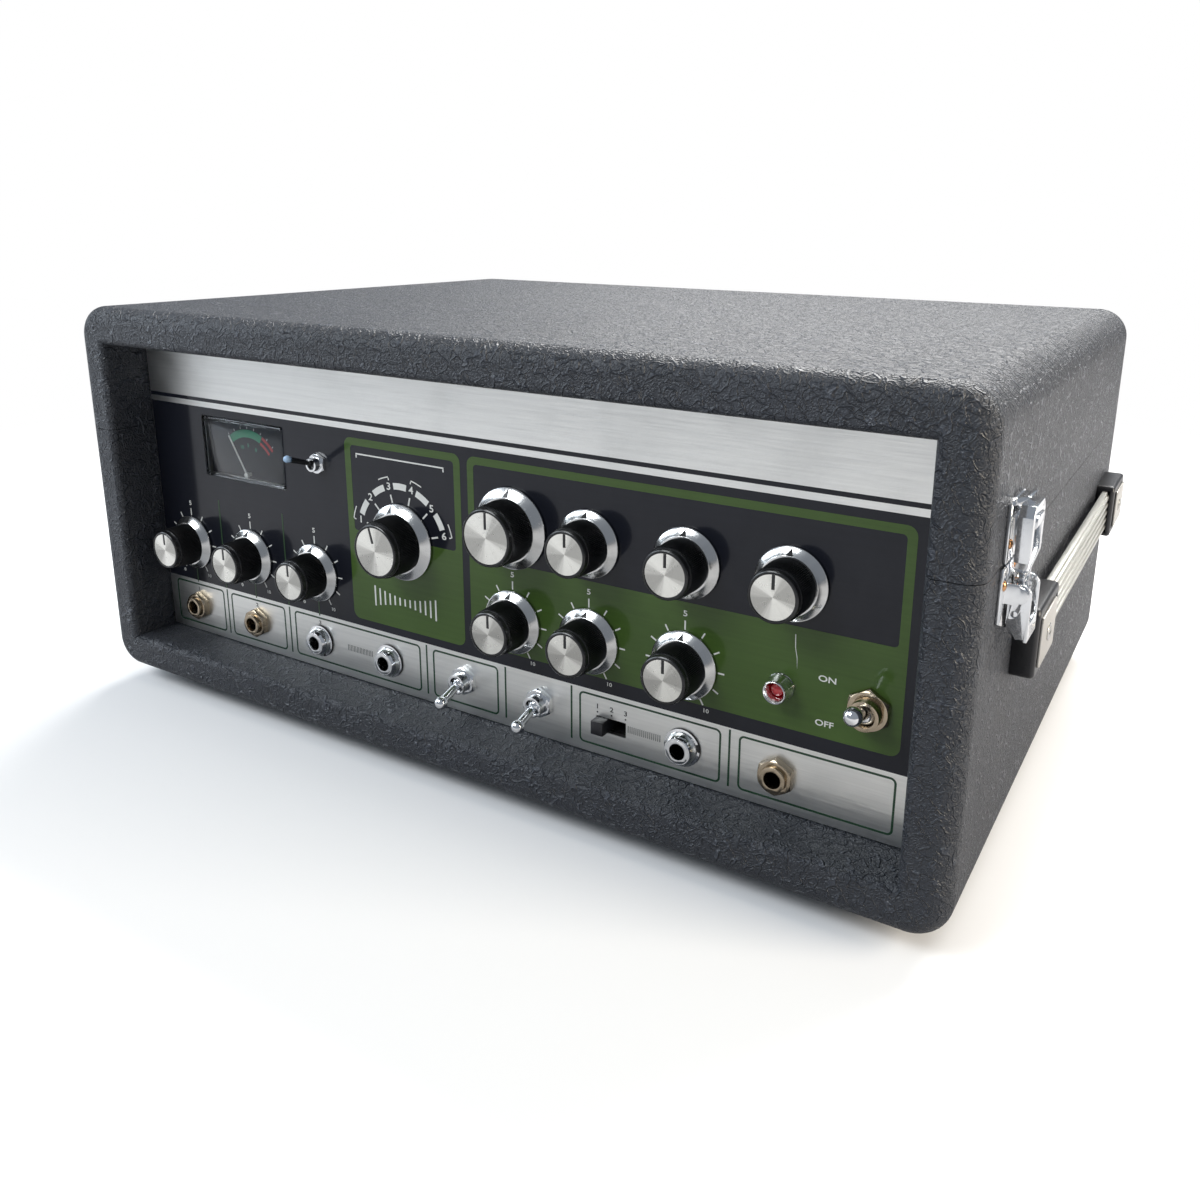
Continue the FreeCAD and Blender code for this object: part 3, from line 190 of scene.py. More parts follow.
class Graph:
    """The node tree of one material."""

    def __init__(self, name):
        self.material = bpy.data.materials.new(name)
        self.material.use_nodes = True
        self.tree = self.material.node_tree
        self.tree.nodes.clear()
        self.place = self.node("ShaderNodeVectorMath", {"operation": "SCALE"}, {
            0: self.node("ShaderNodeTexCoord", output=3), 3: 1 / MM,
        })

    def node(self, kind, settings=None, inputs=None, output=0):
        made = self.tree.nodes.new(kind)
        for key, value in (settings or {}).items():
            setattr(made, key, value)
        for key, value in (inputs or {}).items():
            if isinstance(value, Wire):
                self.tree.links.new(value.socket, made.inputs[key])
            else:
                made.inputs[key].default_value = value
        return Wire(self, made.outputs[output]) if made.outputs else None

    def stretched(self, x, y, z):
        return self.node("ShaderNodeVectorMath", {"operation": "MULTIPLY"}, {0: self.place, 1: (x, y, z)})

    def noise(self, scale, detail=3.0, roughness=0.5, source=None, output=0):
        return self.node("ShaderNodeTexNoise", None, {
            "Vector": source or self.place, "Scale": scale, "Detail": detail, "Roughness": roughness,
        }, output)

    def cells(self, scale, source=None, feature="DISTANCE_TO_EDGE"):
        return self.node("ShaderNodeTexVoronoi", {"feature": feature}, {
            "Vector": source or self.place, "Scale": scale,
        })

    def between(self, value, low, high, out_low=0.0, out_high=1.0):
        return self.node("ShaderNodeMapRange", {"interpolation_type": "SMOOTHSTEP"}, {
            "Value": value, "From Min": low, "From Max": high, "To Min": out_low, "To Max": out_high,
        })

    def ridges(self, value, width):
        """Winding lines where a noise crosses its middle value."""
        away = value.maths("ABSOLUTE", value - 0.5)
        return self.between(away, 0.0, width, 1.0, 0.0)

    def mix(self, share, first, second):
        tints = [t if isinstance(t, Wire) else (*t[:3], 1) for t in (first, second)]
        return self.node("ShaderNodeMix", {"data_type": "RGBA"}, {0: share, 6: tints[0], 7: tints[1]}, 2)

    def tilted(self, x, y, z):
        """The surface's normal leaned by an offset."""
        lean = self.node("ShaderNodeCombineXYZ", None, {0: x, 1: y, 2: z})
        return self.leaned(lean)

    def leaned(self, lean):
        normal = self.node("ShaderNodeNewGeometry", output=1)
        total = self.node("ShaderNodeVectorMath", {"operation": "ADD"}, {0: normal, 1: lean})
        return self.node("ShaderNodeVectorMath", {"operation": "NORMALIZE"}, {0: total})

    def bump(self, height, distance_mm):
        return self.node("ShaderNodeBump", None, {
            "Strength": 1.0, "Distance": distance_mm * MM, "Height": height,
        })

    def shade(self, **values):
        """Finish with a Principled shader. Underscores in the names stand for spaces."""
        inputs = {}
        for key, value in values.items():
            inputs[key.replace("_", " ").title().replace("Ior", "IOR")] = value
        shader = self.node("ShaderNodeBsdfPrincipled", None, inputs)
        self.node("ShaderNodeOutputMaterial", None, {0: shader})
        return self.material


def hue(name):
    return tuple(getattr(bpy.context.scene.echo_colours, name))


def lighter(tint, factor):
    return tuple(min(1.0, c * factor) for c in tint)


def leatherette(name, tint):
    """Creased vinyl covering: winding raised veins that run into one another over fine pebbles, with a
    painted highlight along the vein ridges.
    """
    g = Graph(name)
    drift = g.node("ShaderNodeVectorMath", {"operation": "SCALE"}, {0: g.noise(0.16, 2.0, output=1), 3: 3.0})
    place = g.node("ShaderNodeVectorMath", {"operation": "ADD"}, {0: g.place, 1: drift})
    net = g.between(g.cells(0.19, place), 0.0, 0.11, 1.0, 0.0)
    folds = g.ridges(g.noise(0.15, 1.0, 0.5, place), 0.034)
    wisps = g.ridges(g.noise(0.29, 1.0, 0.5, place), 0.044)
    pebbles = g.between(g.cells(0.9, place), 0.0, 0.35)
    patches = g.noise(0.03, 3.0)
    fine = g.noise(2.4, 3.0)
    veins = folds.maths("MAXIMUM", folds, net * 0.75).maths("MAXIMUM", folds, wisps * 0.55)
    height = veins + pebbles * 0.22 + fine * 0.14
    dust = g.between(g.noise(0.012, 4.0), 0.40, 0.78)
    base = g.mix(patches, lighter(tint, 0.75), lighter(tint, 1.20))
    # Vein ridges painted lighter: a painted highlight of the gloss on the ridges
    base = g.mix(veins * 0.6, base, lighter(tint, 2.3))
    base = g.mix(dust * 0.22, base, lighter(tint, 1.9))
    rough = 0.37 + fine * 0.16 - veins * 0.17 + dust * 0.08
    return g.shade(
        base_color=base, roughness=rough, specular_ior_level=0.50,
        normal=g.bump(height, 1.0),
    )


def brushed(name, tint, along="x", lean=0.34, rough=0.27, metallic=1.0):
    """Metal with straight brush lines along X or Y."""
    g = Graph(name)
    x, y, z = {"x": (0.012, 0.6, 1.0), "y": (0.6, 0.012, 1.0)}[along]
    broad = g.noise(1.0, 4.0, 0.6, g.stretched(x, y, z))
    fine = g.noise(1.0, 2.0, 0.6, g.stretched(x * 4, y * 9, z * 9))
    stains = g.between(g.noise(0.05, 4.0), 0.45, 0.75)
    tip = (fine - 0.5) * lean
    base = g.mix(broad, lighter(tint, 0.86), lighter(tint, 1.10))
    base = g.mix(stains * 0.15, base, lighter(tint, 0.78))
    rougher = rough + broad * 0.10 + stains * 0.08
    normal = g.tilted(0.0, tip, tip) if along == "x" else g.tilted(tip, tip, 0.0)
    return g.shade(base_color=base, roughness=rougher, metallic=metallic, normal=normal)


def lacquer(name, tint):
    """Glossy lacquer over brushed metal, with faint brush lines, smears and small scratches."""
    g = Graph(name)
    broad = g.noise(1.0, 4.0, 0.6, g.stretched(0.010, 0.6, 0.9))
    fine = g.noise(1.0, 2.0, 0.5, g.stretched(0.04, 3.0, 6.0))
    smear = g.noise(0.03, 5.0, 0.6)
    wisps = g.noise(1.0, 3.0, 0.5, g.stretched(0.35, 0.35, 0.10))
    dots = g.between(g.cells(0.20, feature="F1"), 0.0, 0.035, 1.0, 0.0)
    base = g.mix(broad, lighter(tint, 0.80), lighter(tint, 1.22))
    base = g.mix(g.between(smear, 0.5, 0.8) * 0.35, base, lighter(tint, 1.5))
    base = g.mix(dots * 0.5, base, lighter(tint, 4.0))
    rough = 0.34 + fine * 0.16
    return g.shade(
        base_color=base, roughness=rough, specular_ior_level=0.12, coat_weight=0.75 + wisps * 0.25,
        coat_roughness=0.10, coat_ior=1.36,
        normal=g.tilted(0.0, 0.0, (fine - 0.5) * 0.10),
    )


def ink(name, tint):
    """Screen printing, a little uneven and rubbed."""
    g = Graph(name)
    worn = g.between(g.noise(0.9, 4.0), 0.55, 0.80)
    base = g.mix(g.noise(0.25, 3.0), lighter(tint, 0.90), lighter(tint, 1.06))
    base = g.mix(worn * 0.30, base, lighter(tint, 0.62))
    return g.shade(base_color=base, roughness=0.36 + worn * 0.2, normal=g.bump(g.noise(4.0, 2.0), 0.02))


def plastic(name, tint, rough=0.38, grain=3.0, bump=0.03, dust=0.25):
    """Moulded plastic or rubber with dust in its low places."""
    g = Graph(name)
    clouds = g.noise(0.09, 4.0)
    speck = g.noise(grain, 3.0)
    film = g.between(clouds, 0.42, 0.72)
    base = g.mix(clouds, lighter(tint, 0.82), lighter(tint, 1.18))
    base = g.mix(film * dust, base, tuple(min(1.0, c * 1.5 + 0.02) for c in tint))
    scuffs = g.between(g.noise(1.0, 3.0, 0.6, g.stretched(0.3, 0.9, 2.4)), 0.62, 0.70)
    return g.shade(
        base_color=base, roughness=rough + speck * 0.14 + film * 0.08 - scuffs * 0.08,
        normal=g.bump(speck, bump),
    )


def plated(name, tint, rough=0.07, pits=0.35, lean=0.02):
    """Polished or plated metal, with pits, fine scratches and a little tarnish."""
    g = Graph(name)
    clouds = g.noise(0.16, 5.0, 0.6)
    speck = g.between(g.noise(3.2, 4.0, 0.7), 0.60, 0.74)
    streak = g.between(g.noise(1.0, 2.0, 0.5, g.stretched(0.5, 0.5, 7.0)), 0.60, 0.66)
    tarnish = g.between(clouds, 0.48, 0.78)
    base = g.mix(tarnish * pits, tint, lighter(tint, 0.62))
    base = g.mix(speck * pits * 0.8, base, lighter(tint, 0.35))
    height = clouds * 0.5 - speck * 0.25 - streak * 0.12
    return g.shade(
        base_color=base, metallic=1.0, roughness=rough + tarnish * 0.14 + speck * 0.22 + streak * 0.05,
        normal=g.bump(height, lean),
    )


def spun(name, tint, lean, pitch, rough, painted_rays=0.0):
    """Metal turned on a lathe: its rings lean the normal in and out, and light and dark sectors round its
    middle are painted into its colour as painted highlight and painted shade. Reads the UV map as a plan in
    mm.
    """
    g = Graph(name)
    plan = g.node("ShaderNodeTexCoord", output=2)
    parts = [g.node("ShaderNodeSeparateXYZ", None, {0: plan}, i) for i in (0, 1)]
    away = g.node("ShaderNodeVectorMath", {"operation": "LENGTH"}, {0: plan}, 1)
    ring = g.node("ShaderNodeTexNoise", {"noise_dimensions": "1D"}, {
        "W": away / pitch, "Scale": 1.0, "Detail": 3.0,
    })
    tip = (ring - 0.5) * lean
    flat = g.node("ShaderNodeCombineXYZ", None, {0: parts[0], 1: 0.0, 2: parts[1]})
    outward = g.node("ShaderNodeVectorMath", {"operation": "NORMALIZE"}, {0: flat})
    turned_out = g.node("ShaderNodeVectorTransform", {
        "vector_type": "VECTOR", "convert_from": "OBJECT", "convert_to": "WORLD",
    }, {0: outward})
    leaning = g.node("ShaderNodeVectorMath", {"operation": "SCALE"}, {0: turned_out, 3: tip})
    # Painted highlight and painted shade: bright and dark sectors, fixed by bearing round the middle, darken
    # the colour where they are low
    bearing = parts[0].maths("ARCTAN2", parts[0], parts[1])
    highlight_sweep = g.node("ShaderNodeTexNoise", {"noise_dimensions": "1D"}, {
        "W": bearing * 2.2, "Scale": 1.0, "Detail": 4.0,
    })
    highlight_lobes = bearing * 2.0 + 0.9
    painted_highlight = highlight_lobes.maths("COSINE", highlight_lobes) * 0.5 + highlight_sweep * 1.2
    base = g.mix(g.between(painted_highlight, 0.15, 1.05, 1.0, 0.0) * painted_rays, tint, lighter(tint, 0.30))
    base = g.mix(ring * 0.5, base, lighter(tint, 0.80))
    grime = g.between(g.noise(0.5, 4.0), 0.55, 0.8)
    return g.shade(
        base_color=base, metallic=1.0, roughness=rough + ring * 0.10 + grime * 0.12, normal=g.leaned(leaning),
    )


def clear(name, tint, rough=0.0):
    """Clear moulded plastic with faint haze and scratches."""
    g = Graph(name)
    haze = g.between(g.noise(0.06, 4.0), 0.45, 0.8)
    streak = g.between(g.noise(1.0, 2.0, 0.5, g.stretched(0.4, 2.0, 5.0)), 0.66, 0.70)
    return g.shade(
        base_color=g.mix(haze * 0.3, tint, lighter(tint, 0.85)),
        roughness=rough + haze * 0.04 + streak * 0.10,
        transmission_weight=1.0, ior=1.33, normal=g.bump(haze, 0.004),
    )


def felt(name, tint):
    """Soft pads with a fuzzy surface."""
    g = Graph(name)
    fuzz = g.noise(2.0, 5.0, 0.7)
    return g.shade(
        base_color=g.mix(fuzz, lighter(tint, 0.7), lighter(tint, 1.3)), roughness=0.85 + fuzz * 0.1,
        normal=g.bump(fuzz, 0.3),
    )


def lens(name, tint):
    """Red lens that glows a little from within."""
    g = Graph(name)
    swirl = g.noise(0.8, 3.0)
    return g.shade(
        base_color=g.mix(swirl, lighter(tint, 0.7), lighter(tint, 1.2)), roughness=0.10 + swirl * 0.06,
        emission_color=g.mix(swirl, tint, lighter(tint, 0.6)), emission_strength=0.08, coat_weight=1.0,
        coat_roughness=0.05, normal=g.bump(swirl, 0.05),
    )


MATERIALS = {}
# How each finish is made: the recipe, its colour or the name of its colour, and what else it takes
RECIPES = {
    "covering": (leatherette, "covering"),
    "panel_metal": (brushed, "aluminium"),
    "black_lacquer": (lacquer, "black_field"),
    "green_lacquer": (lacquer, "green_field"),
    "white_ink": (ink, "ink"),
    "green_ink": (ink, "strip_green"),
    "black_ink": (ink, (0.012, 0.014, 0.013)),
    "divider_ink": (ink, (0.020, 0.060, 0.018)),
    "dial_green": (ink, (0.010, 0.20, 0.10)),
    "dial_red": (ink, (0.42, 0.020, 0.025)),
    "dial_face": (plastic, (0.010, 0.012, 0.018), 0.5, 4.0, 0.01, 0.2),
    "knob_plastic": (plastic, "knob", 0.30, 4.0, 0.02, 0.35),
    "knob_gloss": (plastic, "knob", 0.16, 4.0, 0.008, 0.2),
    # The last value of the two turned finishes sets how strongly painted highlight and painted shade sectors
    # show in their colour
    "knob_cap": (spun, (0.95, 0.94, 0.88), 0.60, 0.16, 0.18, 0.90),
    "knob_skirt": (spun, (0.78, 0.78, 0.77), 0.10, 0.10, 0.14, 0.45),
    "pointer_ink": (ink, (0.010, 0.010, 0.011)),
    "chrome": (plated, (0.82, 0.83, 0.84)),
    "worn_nickel": (plated, "nickel", 0.20, 0.75, 0.05),
    "bright_nickel": (plated, (0.70, 0.68, 0.63), 0.13, 0.35),
    "steel_screw": (plated, (0.52, 0.51, 0.48), 0.24, 0.5),
    "brass": (plated, (0.62, 0.42, 0.16), 0.18, 0.4),
    "copper_rivet": (plated, (0.60, 0.32, 0.15), 0.22, 0.5),
    "zinc_sheet": (plated, (0.50, 0.50, 0.47), 0.30, 0.35),
    "black_sheet": (plastic, (0.014, 0.014, 0.015), 0.42, 1.6, 0.06),
    "black_rubber": (plastic, (0.014, 0.014, 0.014), 0.62, 2.0, 0.08),
    "black_plastic": (plastic, (0.011, 0.011, 0.013), 0.28, 3.0, 0.02),
    "strap_vinyl": (brushed, (0.46, 0.46, 0.43), "y", 0.20, 0.34, 0.75),
    "inlay_metal": (brushed, (0.52, 0.50, 0.46), "y", 0.20, 0.30, 0.85),
    "lamp_chrome": (plated, (0.80, 0.80, 0.79), 0.12, 0.25),
    "red_lens": (lens, "lamp"),
    "clear_window": (clear, (0.93, 0.95, 0.96)),
    "smoked_cover": (clear, (0.72, 0.74, 0.76), 0.05),
    "needle_paint": (ink, (0.78, 0.78, 0.74)),
    "tape": (plastic, (0.060, 0.030, 0.018), 0.16, 1.0, 0.01, 0.1),
    "deck_metal": (brushed, (0.52, 0.53, 0.52), "x", 0.22, 0.30),
    "head_metal": (plated, (0.74, 0.74, 0.72), 0.12, 0.2),
    "tray_plastic": (plastic, (0.030, 0.031, 0.034), 0.40, 2.0, 0.03),
    "felt": (felt, (0.42, 0.40, 0.34)),
    "board_resin": (plastic, (0.16, 0.085, 0.028), 0.45, 2.0, 0.03),
    "iron_core": (plated, (0.20, 0.20, 0.21), 0.45, 0.6),
    "blue_sleeve": (plastic, (0.36, 0.52, 0.72), 0.30, 3.0, 0.01, 0.1),
}


def finish(name):
    """A material by name, made the first time that it is asked for."""
    if name not in MATERIALS:
        recipe, tint, *rest = RECIPES[name]
        MATERIALS[name] = recipe(name, hue(tint) if isinstance(tint, str) else tint, *rest)
    return MATERIALS[name]


def pick_only(*pieces):
    """Go to object mode and select these pieces alone."""
    active = bpy.context.view_layer.objects.active
    if active and active.mode != "OBJECT":
        bpy.ops.object.mode_set(mode="OBJECT")
    bpy.ops.object.select_all(action="DESELECT")
    for piece in pieces:
        piece.select_set(True)
    if pieces:
        bpy.context.view_layer.objects.active = pieces[0]


def edit(piece):
    pick_only(piece)
    bpy.ops.object.mode_set(mode="EDIT")
    bpy.ops.mesh.select_mode(type="VERT")


def leave_edit():
    bpy.ops.object.mode_set(mode="OBJECT")


def select(piece, test):
    """In edit mode, select the vertices whose place in mm passes the test."""
    mesh = bmesh.from_edit_mesh(piece.data)
    bpy.ops.mesh.select_all(action="DESELECT")
    for vert in mesh.verts:
        if test(vert.co / MM):
            vert.select_set(True)
    mesh.select_flush_mode()
    bmesh.update_edit_mesh(piece.data)


def settled(piece, name=None):
    """Put the object at the origin, unturned and unscaled, with its place in its mesh."""
    pick_only(piece)
    bpy.ops.object.transform_apply(location=True, rotation=True, scale=True)
    if name:
        piece.name = name
        piece.data.name = name
    return piece


def placed(piece, turn=None, at=(0, 0, 0)):
    """Turn a settled piece about the origin, then move it. The place is in mm."""
    piece.matrix_world = Matrix.Translation(Vector(at) * MM) @ (turn or Matrix.Identity(4))
    return settled(piece)


def with_modifier(piece, kind, **settings):
    pick_only(piece)
    made = piece.modifiers.new(kind.lower(), kind)
    for key, value in settings.items():
        setattr(made, key, value)
    bpy.ops.object.modifier_apply(modifier=made.name)
    return piece


def smoothed(piece, angle=35):
    pick_only(piece)
    bpy.ops.object.shade_smooth_by_angle(angle=math.radians(angle))
    return piece


def rounded(piece, width, steps=2, angle=30):
    """Round the sharp edges. The width is in mm."""
    with_modifier(piece, "BEVEL", width=width * MM, segments=steps, limit_method="ANGLE",
                  angle_limit=math.radians(angle), use_clamp_overlap=True)
    return smoothed(piece)


def dress(piece, *names):
    piece.data.materials.clear()
    for name in names:
        piece.data.materials.append(finish(name))
    return piece


def twin(piece, name):
    made = piece.copy()
    made.data = piece.data.copy()
    made.name = name
    made.data.name = name
    bpy.context.scene.collection.objects.link(made)
    return made


def merged(name, pieces):
    pick_only(*pieces)
    if len(pieces) > 1:
        bpy.ops.object.join()
    return settled(bpy.context.view_layer.objects.active, name)


def turned(name, profile, segments=48):
    """A solid of revolution about Z, made by extruding a ring through (radius, height) points in mm.
    A radius of 0 at either end closes that end flat."""
    pick_only()
    rings = [p for p in profile if p[0] > 0]
    radius, height = rings[0]
    fill = "NGON" if profile[0][0] == 0 else "NOTHING"
    bpy.ops.mesh.primitive_circle_add(vertices=segments, radius=radius * MM, fill_type=fill,
                                      location=(0, 0, height * MM))
    piece = bpy.context.view_layer.objects.active
    bpy.ops.object.mode_set(mode="EDIT")
    bpy.ops.mesh.select_mode(type="EDGE")
    bpy.ops.mesh.select_all(action="SELECT")
    for new_radius, new_height in rings[1:]:
        bpy.ops.mesh.extrude_edges_move()
        share = new_radius / radius
        bpy.ops.transform.resize(value=(share, share, 1), center_override=(0, 0, 0))
        bpy.ops.transform.translate(value=(0, 0, (new_height - height) * MM))
        radius, height = new_radius, new_height
    if profile[-1][0] == 0:
        bpy.ops.mesh.edge_face_add()
    if profile[0] == profile[-1]:
        bpy.ops.mesh.select_all(action="SELECT")
        bpy.ops.mesh.remove_doubles(threshold=1e-6)
    bpy.ops.mesh.select_all(action="SELECT")
    bpy.ops.mesh.normals_make_consistent(inside=False)
    leave_edit()
    return smoothed(settled(piece, name))


def block(name, low, high, edge=0.0, steps=2):
    """A box between two corners in mm, with its edges rounded."""
    pick_only()
    low, high = Vector(low), Vector(high)
    bpy.ops.mesh.primitive_cube_add(size=1, location=(low + high) / 2 * MM, scale=(high - low) * MM)
    piece = settled(bpy.context.view_layer.objects.active, name)
    return rounded(piece, edge, steps) if edge else piece


def softened(node, edge, steps=2, angle=30, names=(), pick=None):
    """A copy of a CAD node with its facets merged and its sharp edges rounded, which stands for it."""
    piece = twin(frame["nodes"][node], node + "_finish")
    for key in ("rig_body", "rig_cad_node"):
        del piece[key]
    piece.parent = None
    edit(piece)
    bpy.ops.mesh.select_all(action="SELECT")
    bpy.ops.mesh.remove_doubles(threshold=2e-6)
    bpy.ops.mesh.dissolve_limited(angle_limit=math.radians(0.6))
    leave_edit()
    bpy.ops.mesh.customdata_custom_splitnormals_clear()
    rounded(piece, edge, steps, angle)
    dress(piece, *names)
    if pick:
        for face in piece.data.polygons:
            face.material_index = pick(face.center / MM)
    return stands_for(piece, node)


def stands_for(piece, *nodes):
    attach(piece, BODY_OF[nodes[0]])
    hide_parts(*nodes)
    return piece


def adds_to(piece, node):
    """A small piece that goes with a CAD node that stays."""
    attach(piece, BODY_OF[node])
    return piece


def paint(node, *names):
    """Give a CAD node that stays its material."""
    dress(frame["nodes"][node], *names)


def middle(node):
    low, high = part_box(node)
    return (low + high) / 2 / MM


def ring_of(x, v, radius, steps=48):
    return [(x + radius * math.cos(2 * math.pi * i / steps), v + radius * math.sin(2 * math.pi * i / steps))
            for i in range(steps)]


def frame_of(x0, x1, v0, v1, radius=0.0, steps=6):
    """A rectangle's outline with round corners."""
    if radius <= 0:
        return [(x0, v0), (x1, v0), (x1, v1), (x0, v1)]
    points = []
    corners = ((x1 - radius, v0 + radius, -90), (x1 - radius, v1 - radius, 0),
               (x0 + radius, v1 - radius, 90), (x0 + radius, v0 + radius, 180))
    for cx, cv, start in corners:
        for i in range(steps + 1):
            a = math.radians(start + 90 * i / steps)
            points.append((cx + radius * math.cos(a), cv + radius * math.sin(a)))
    return points


def spoke(cx, cv, degrees, near, far, width):
    """A bar that points away from a dial's middle. Degrees run clockwise from the top."""
    a = math.radians(degrees)
    out = Vector((math.sin(a), math.cos(a)))
    side = Vector((out.y, -out.x)) * width / 2
    c = Vector((cx, cv))
    return [tuple(c + out * near - side), tuple(c + out * near + side),
            tuple(c + out * far + side), tuple(c + out * far - side)]


def band(cx, cv, near, far, start, end, steps=8):
    """Part of a ring between two angles, clockwise from the top."""
    angles = [math.radians(start + (end - start) * i / steps) for i in range(steps + 1)]
    return ([(cx + far * math.sin(a), cv + far * math.cos(a)) for a in angles]
            + [(cx + near * math.sin(a), cv + near * math.cos(a)) for a in reversed(angles)])


def bordered(x0, x1, v0, v1, radius, width):
    """Two outlines that leave a line round a rounded rectangle."""
    return [frame_of(x0, x1, v0, v1, radius),
            frame_of(x0 + width, x1 - width, v0 + width, v1 - width, max(0.1, radius - width))]


def printed(name, outlines, layer, material, face_y=None, node="front_panel"):
    """Flat print from closed (x, v) outlines; an outline inside another is a hole."""
    thick = bpy.context.scene.echo_sizes.print_thick
    curve = bpy.data.curves.new(name, "CURVE")
    curve.dimensions = "2D"
    curve.fill_mode = "BOTH"
    curve.extrude = thick / 2
    for outline in outlines:
        line = curve.splines.new("POLY")
        line.points.add(len(outline) - 1)
        for point, (x, v) in zip(line.points, outline):
            point.co = (x * MM, (v + FOOT_H) * MM, 0, 1)
        line.use_cyclic_u = True
    piece = bpy.data.objects.new(name, curve)
    bpy.context.scene.collection.objects.link(piece)
    pick_only(piece)
    bpy.ops.object.convert(target="MESH")
    return laid(bpy.context.view_layer.objects.active, name, layer, material, face_y, node)


def laid(piece, name, layer, material, face_y, node):
    """Lay flat print on a face that looks to the front, layer by layer."""
    thick = bpy.context.scene.echo_sizes.print_thick
    if face_y is None:
        face_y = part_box("front_panel")[0].y
    placed(piece, FACE_FRONT, (0, (face_y - thick * (layer + 0.5)) / MM, 0))
    piece.name = name
    piece.data.name = name
    dress(piece, material)
    return adds_to(piece, node)


def lettering(name, words, layer, material, face_y=None, node="front_panel"):
    """Plain figures and words: (text, x, v, height, width factor) each, joined as one piece."""
    thick = bpy.context.scene.echo_sizes.print_thick
    made = []
    for text, x, v, height, wide in words:
        pick_only()
        bpy.ops.object.text_add(location=(x * MM, (v + FOOT_H) * MM, 0))
        piece = bpy.context.view_layer.objects.active
        piece.data.body = text
        piece.data.size = height * MM * 1.45
        piece.data.align_x = "CENTER"
        piece.data.align_y = "CENTER"
        piece.data.offset = height * MM * 0.022
        piece.data.extrude = thick / 2
        piece.data.resolution_u = 4
        piece.scale = (wide, 1, 1)
        bpy.ops.object.convert(target="MESH")
        made.append(settled(bpy.context.view_layer.objects.active))
    return laid(merged(name, made), name, layer, material, face_y, node)


def knob_places():
    return {n: (middle(n).x, middle(n).z - FOOT_H) for n in KNOBS}


class ECHO_OT_cover(bpy.types.Operator):
    """Cover the cabinet and fit its feet"""

    bl_idname = "echo.cover"
    bl_label = "Cover Cabinet"

    def execute(self, context):
        for node in ("case", "lid"):
            paint(node, "covering")
        softened("feet", 0.5, 3, names=("black_rubber",))
        low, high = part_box("feet")
        reach = (high.x / MM - 14.0, high.y / MM - 14.0, 4.0)
        spots = [(sx * reach[0], sy * reach[1], reach[2]) for sx in (-1, 1) for sy in (-1, 1)]
        screws("foot_screws", "feet", spots, FACE_DOWN, 3.6, 1.5)
        return {"FINISHED"}


def screw_head(name, radius, height):
    """A domed screw head with a cross recess, its seat on the XY plane."""
    steps = 5
    dome = [(0, 0), (radius, 0), (radius, height * 0.25)]
    for i in range(1, steps + 1):
        a = math.pi / 2 * i / steps
        dome.append((max(radius * math.cos(a), radius * 0.12), height * (0.25 + 0.75 * math.sin(a))))
    dome.append((0, height))
    head = turned(name, dome, 24)
    wide, long = radius * 0.22, radius * 0.62
    low, high = height * 0.1, height * 2
    cutters = [
        block("cutter_a", (-long, -wide / 2, low), (long, wide / 2, high)),
        block("cutter_b", (-wide / 2, -long, low), (wide / 2, long, high)),
    ]
    for cutter in cutters:
        with_modifier(head, "BOOLEAN", operation="DIFFERENCE", object=cutter, solver="EXACT")
        bpy.data.objects.remove(cutter)
    return smoothed(head, 30)


def screws(name, node, spots, turn, radius, height, material="steel_screw", cross=True):
    """Fit screw heads, or plain domed rivets, at places in mm."""
    if cross:
        head = screw_head(name + "_head", radius, height)
    else:
        arc = [math.radians(15 * i) for i in range(6)]
        head = turned(name + "_head", [(0, -0.2), (radius, -0.2)]
                      + [(radius * math.cos(a), height * math.sin(a)) for a in arc] + [(0, height)], 24)
    dress(head, material)
    made = [placed(twin(head, name), turn, spot) for spot in spots]
    bpy.data.objects.remove(head)
    return adds_to(merged(name, made), node)


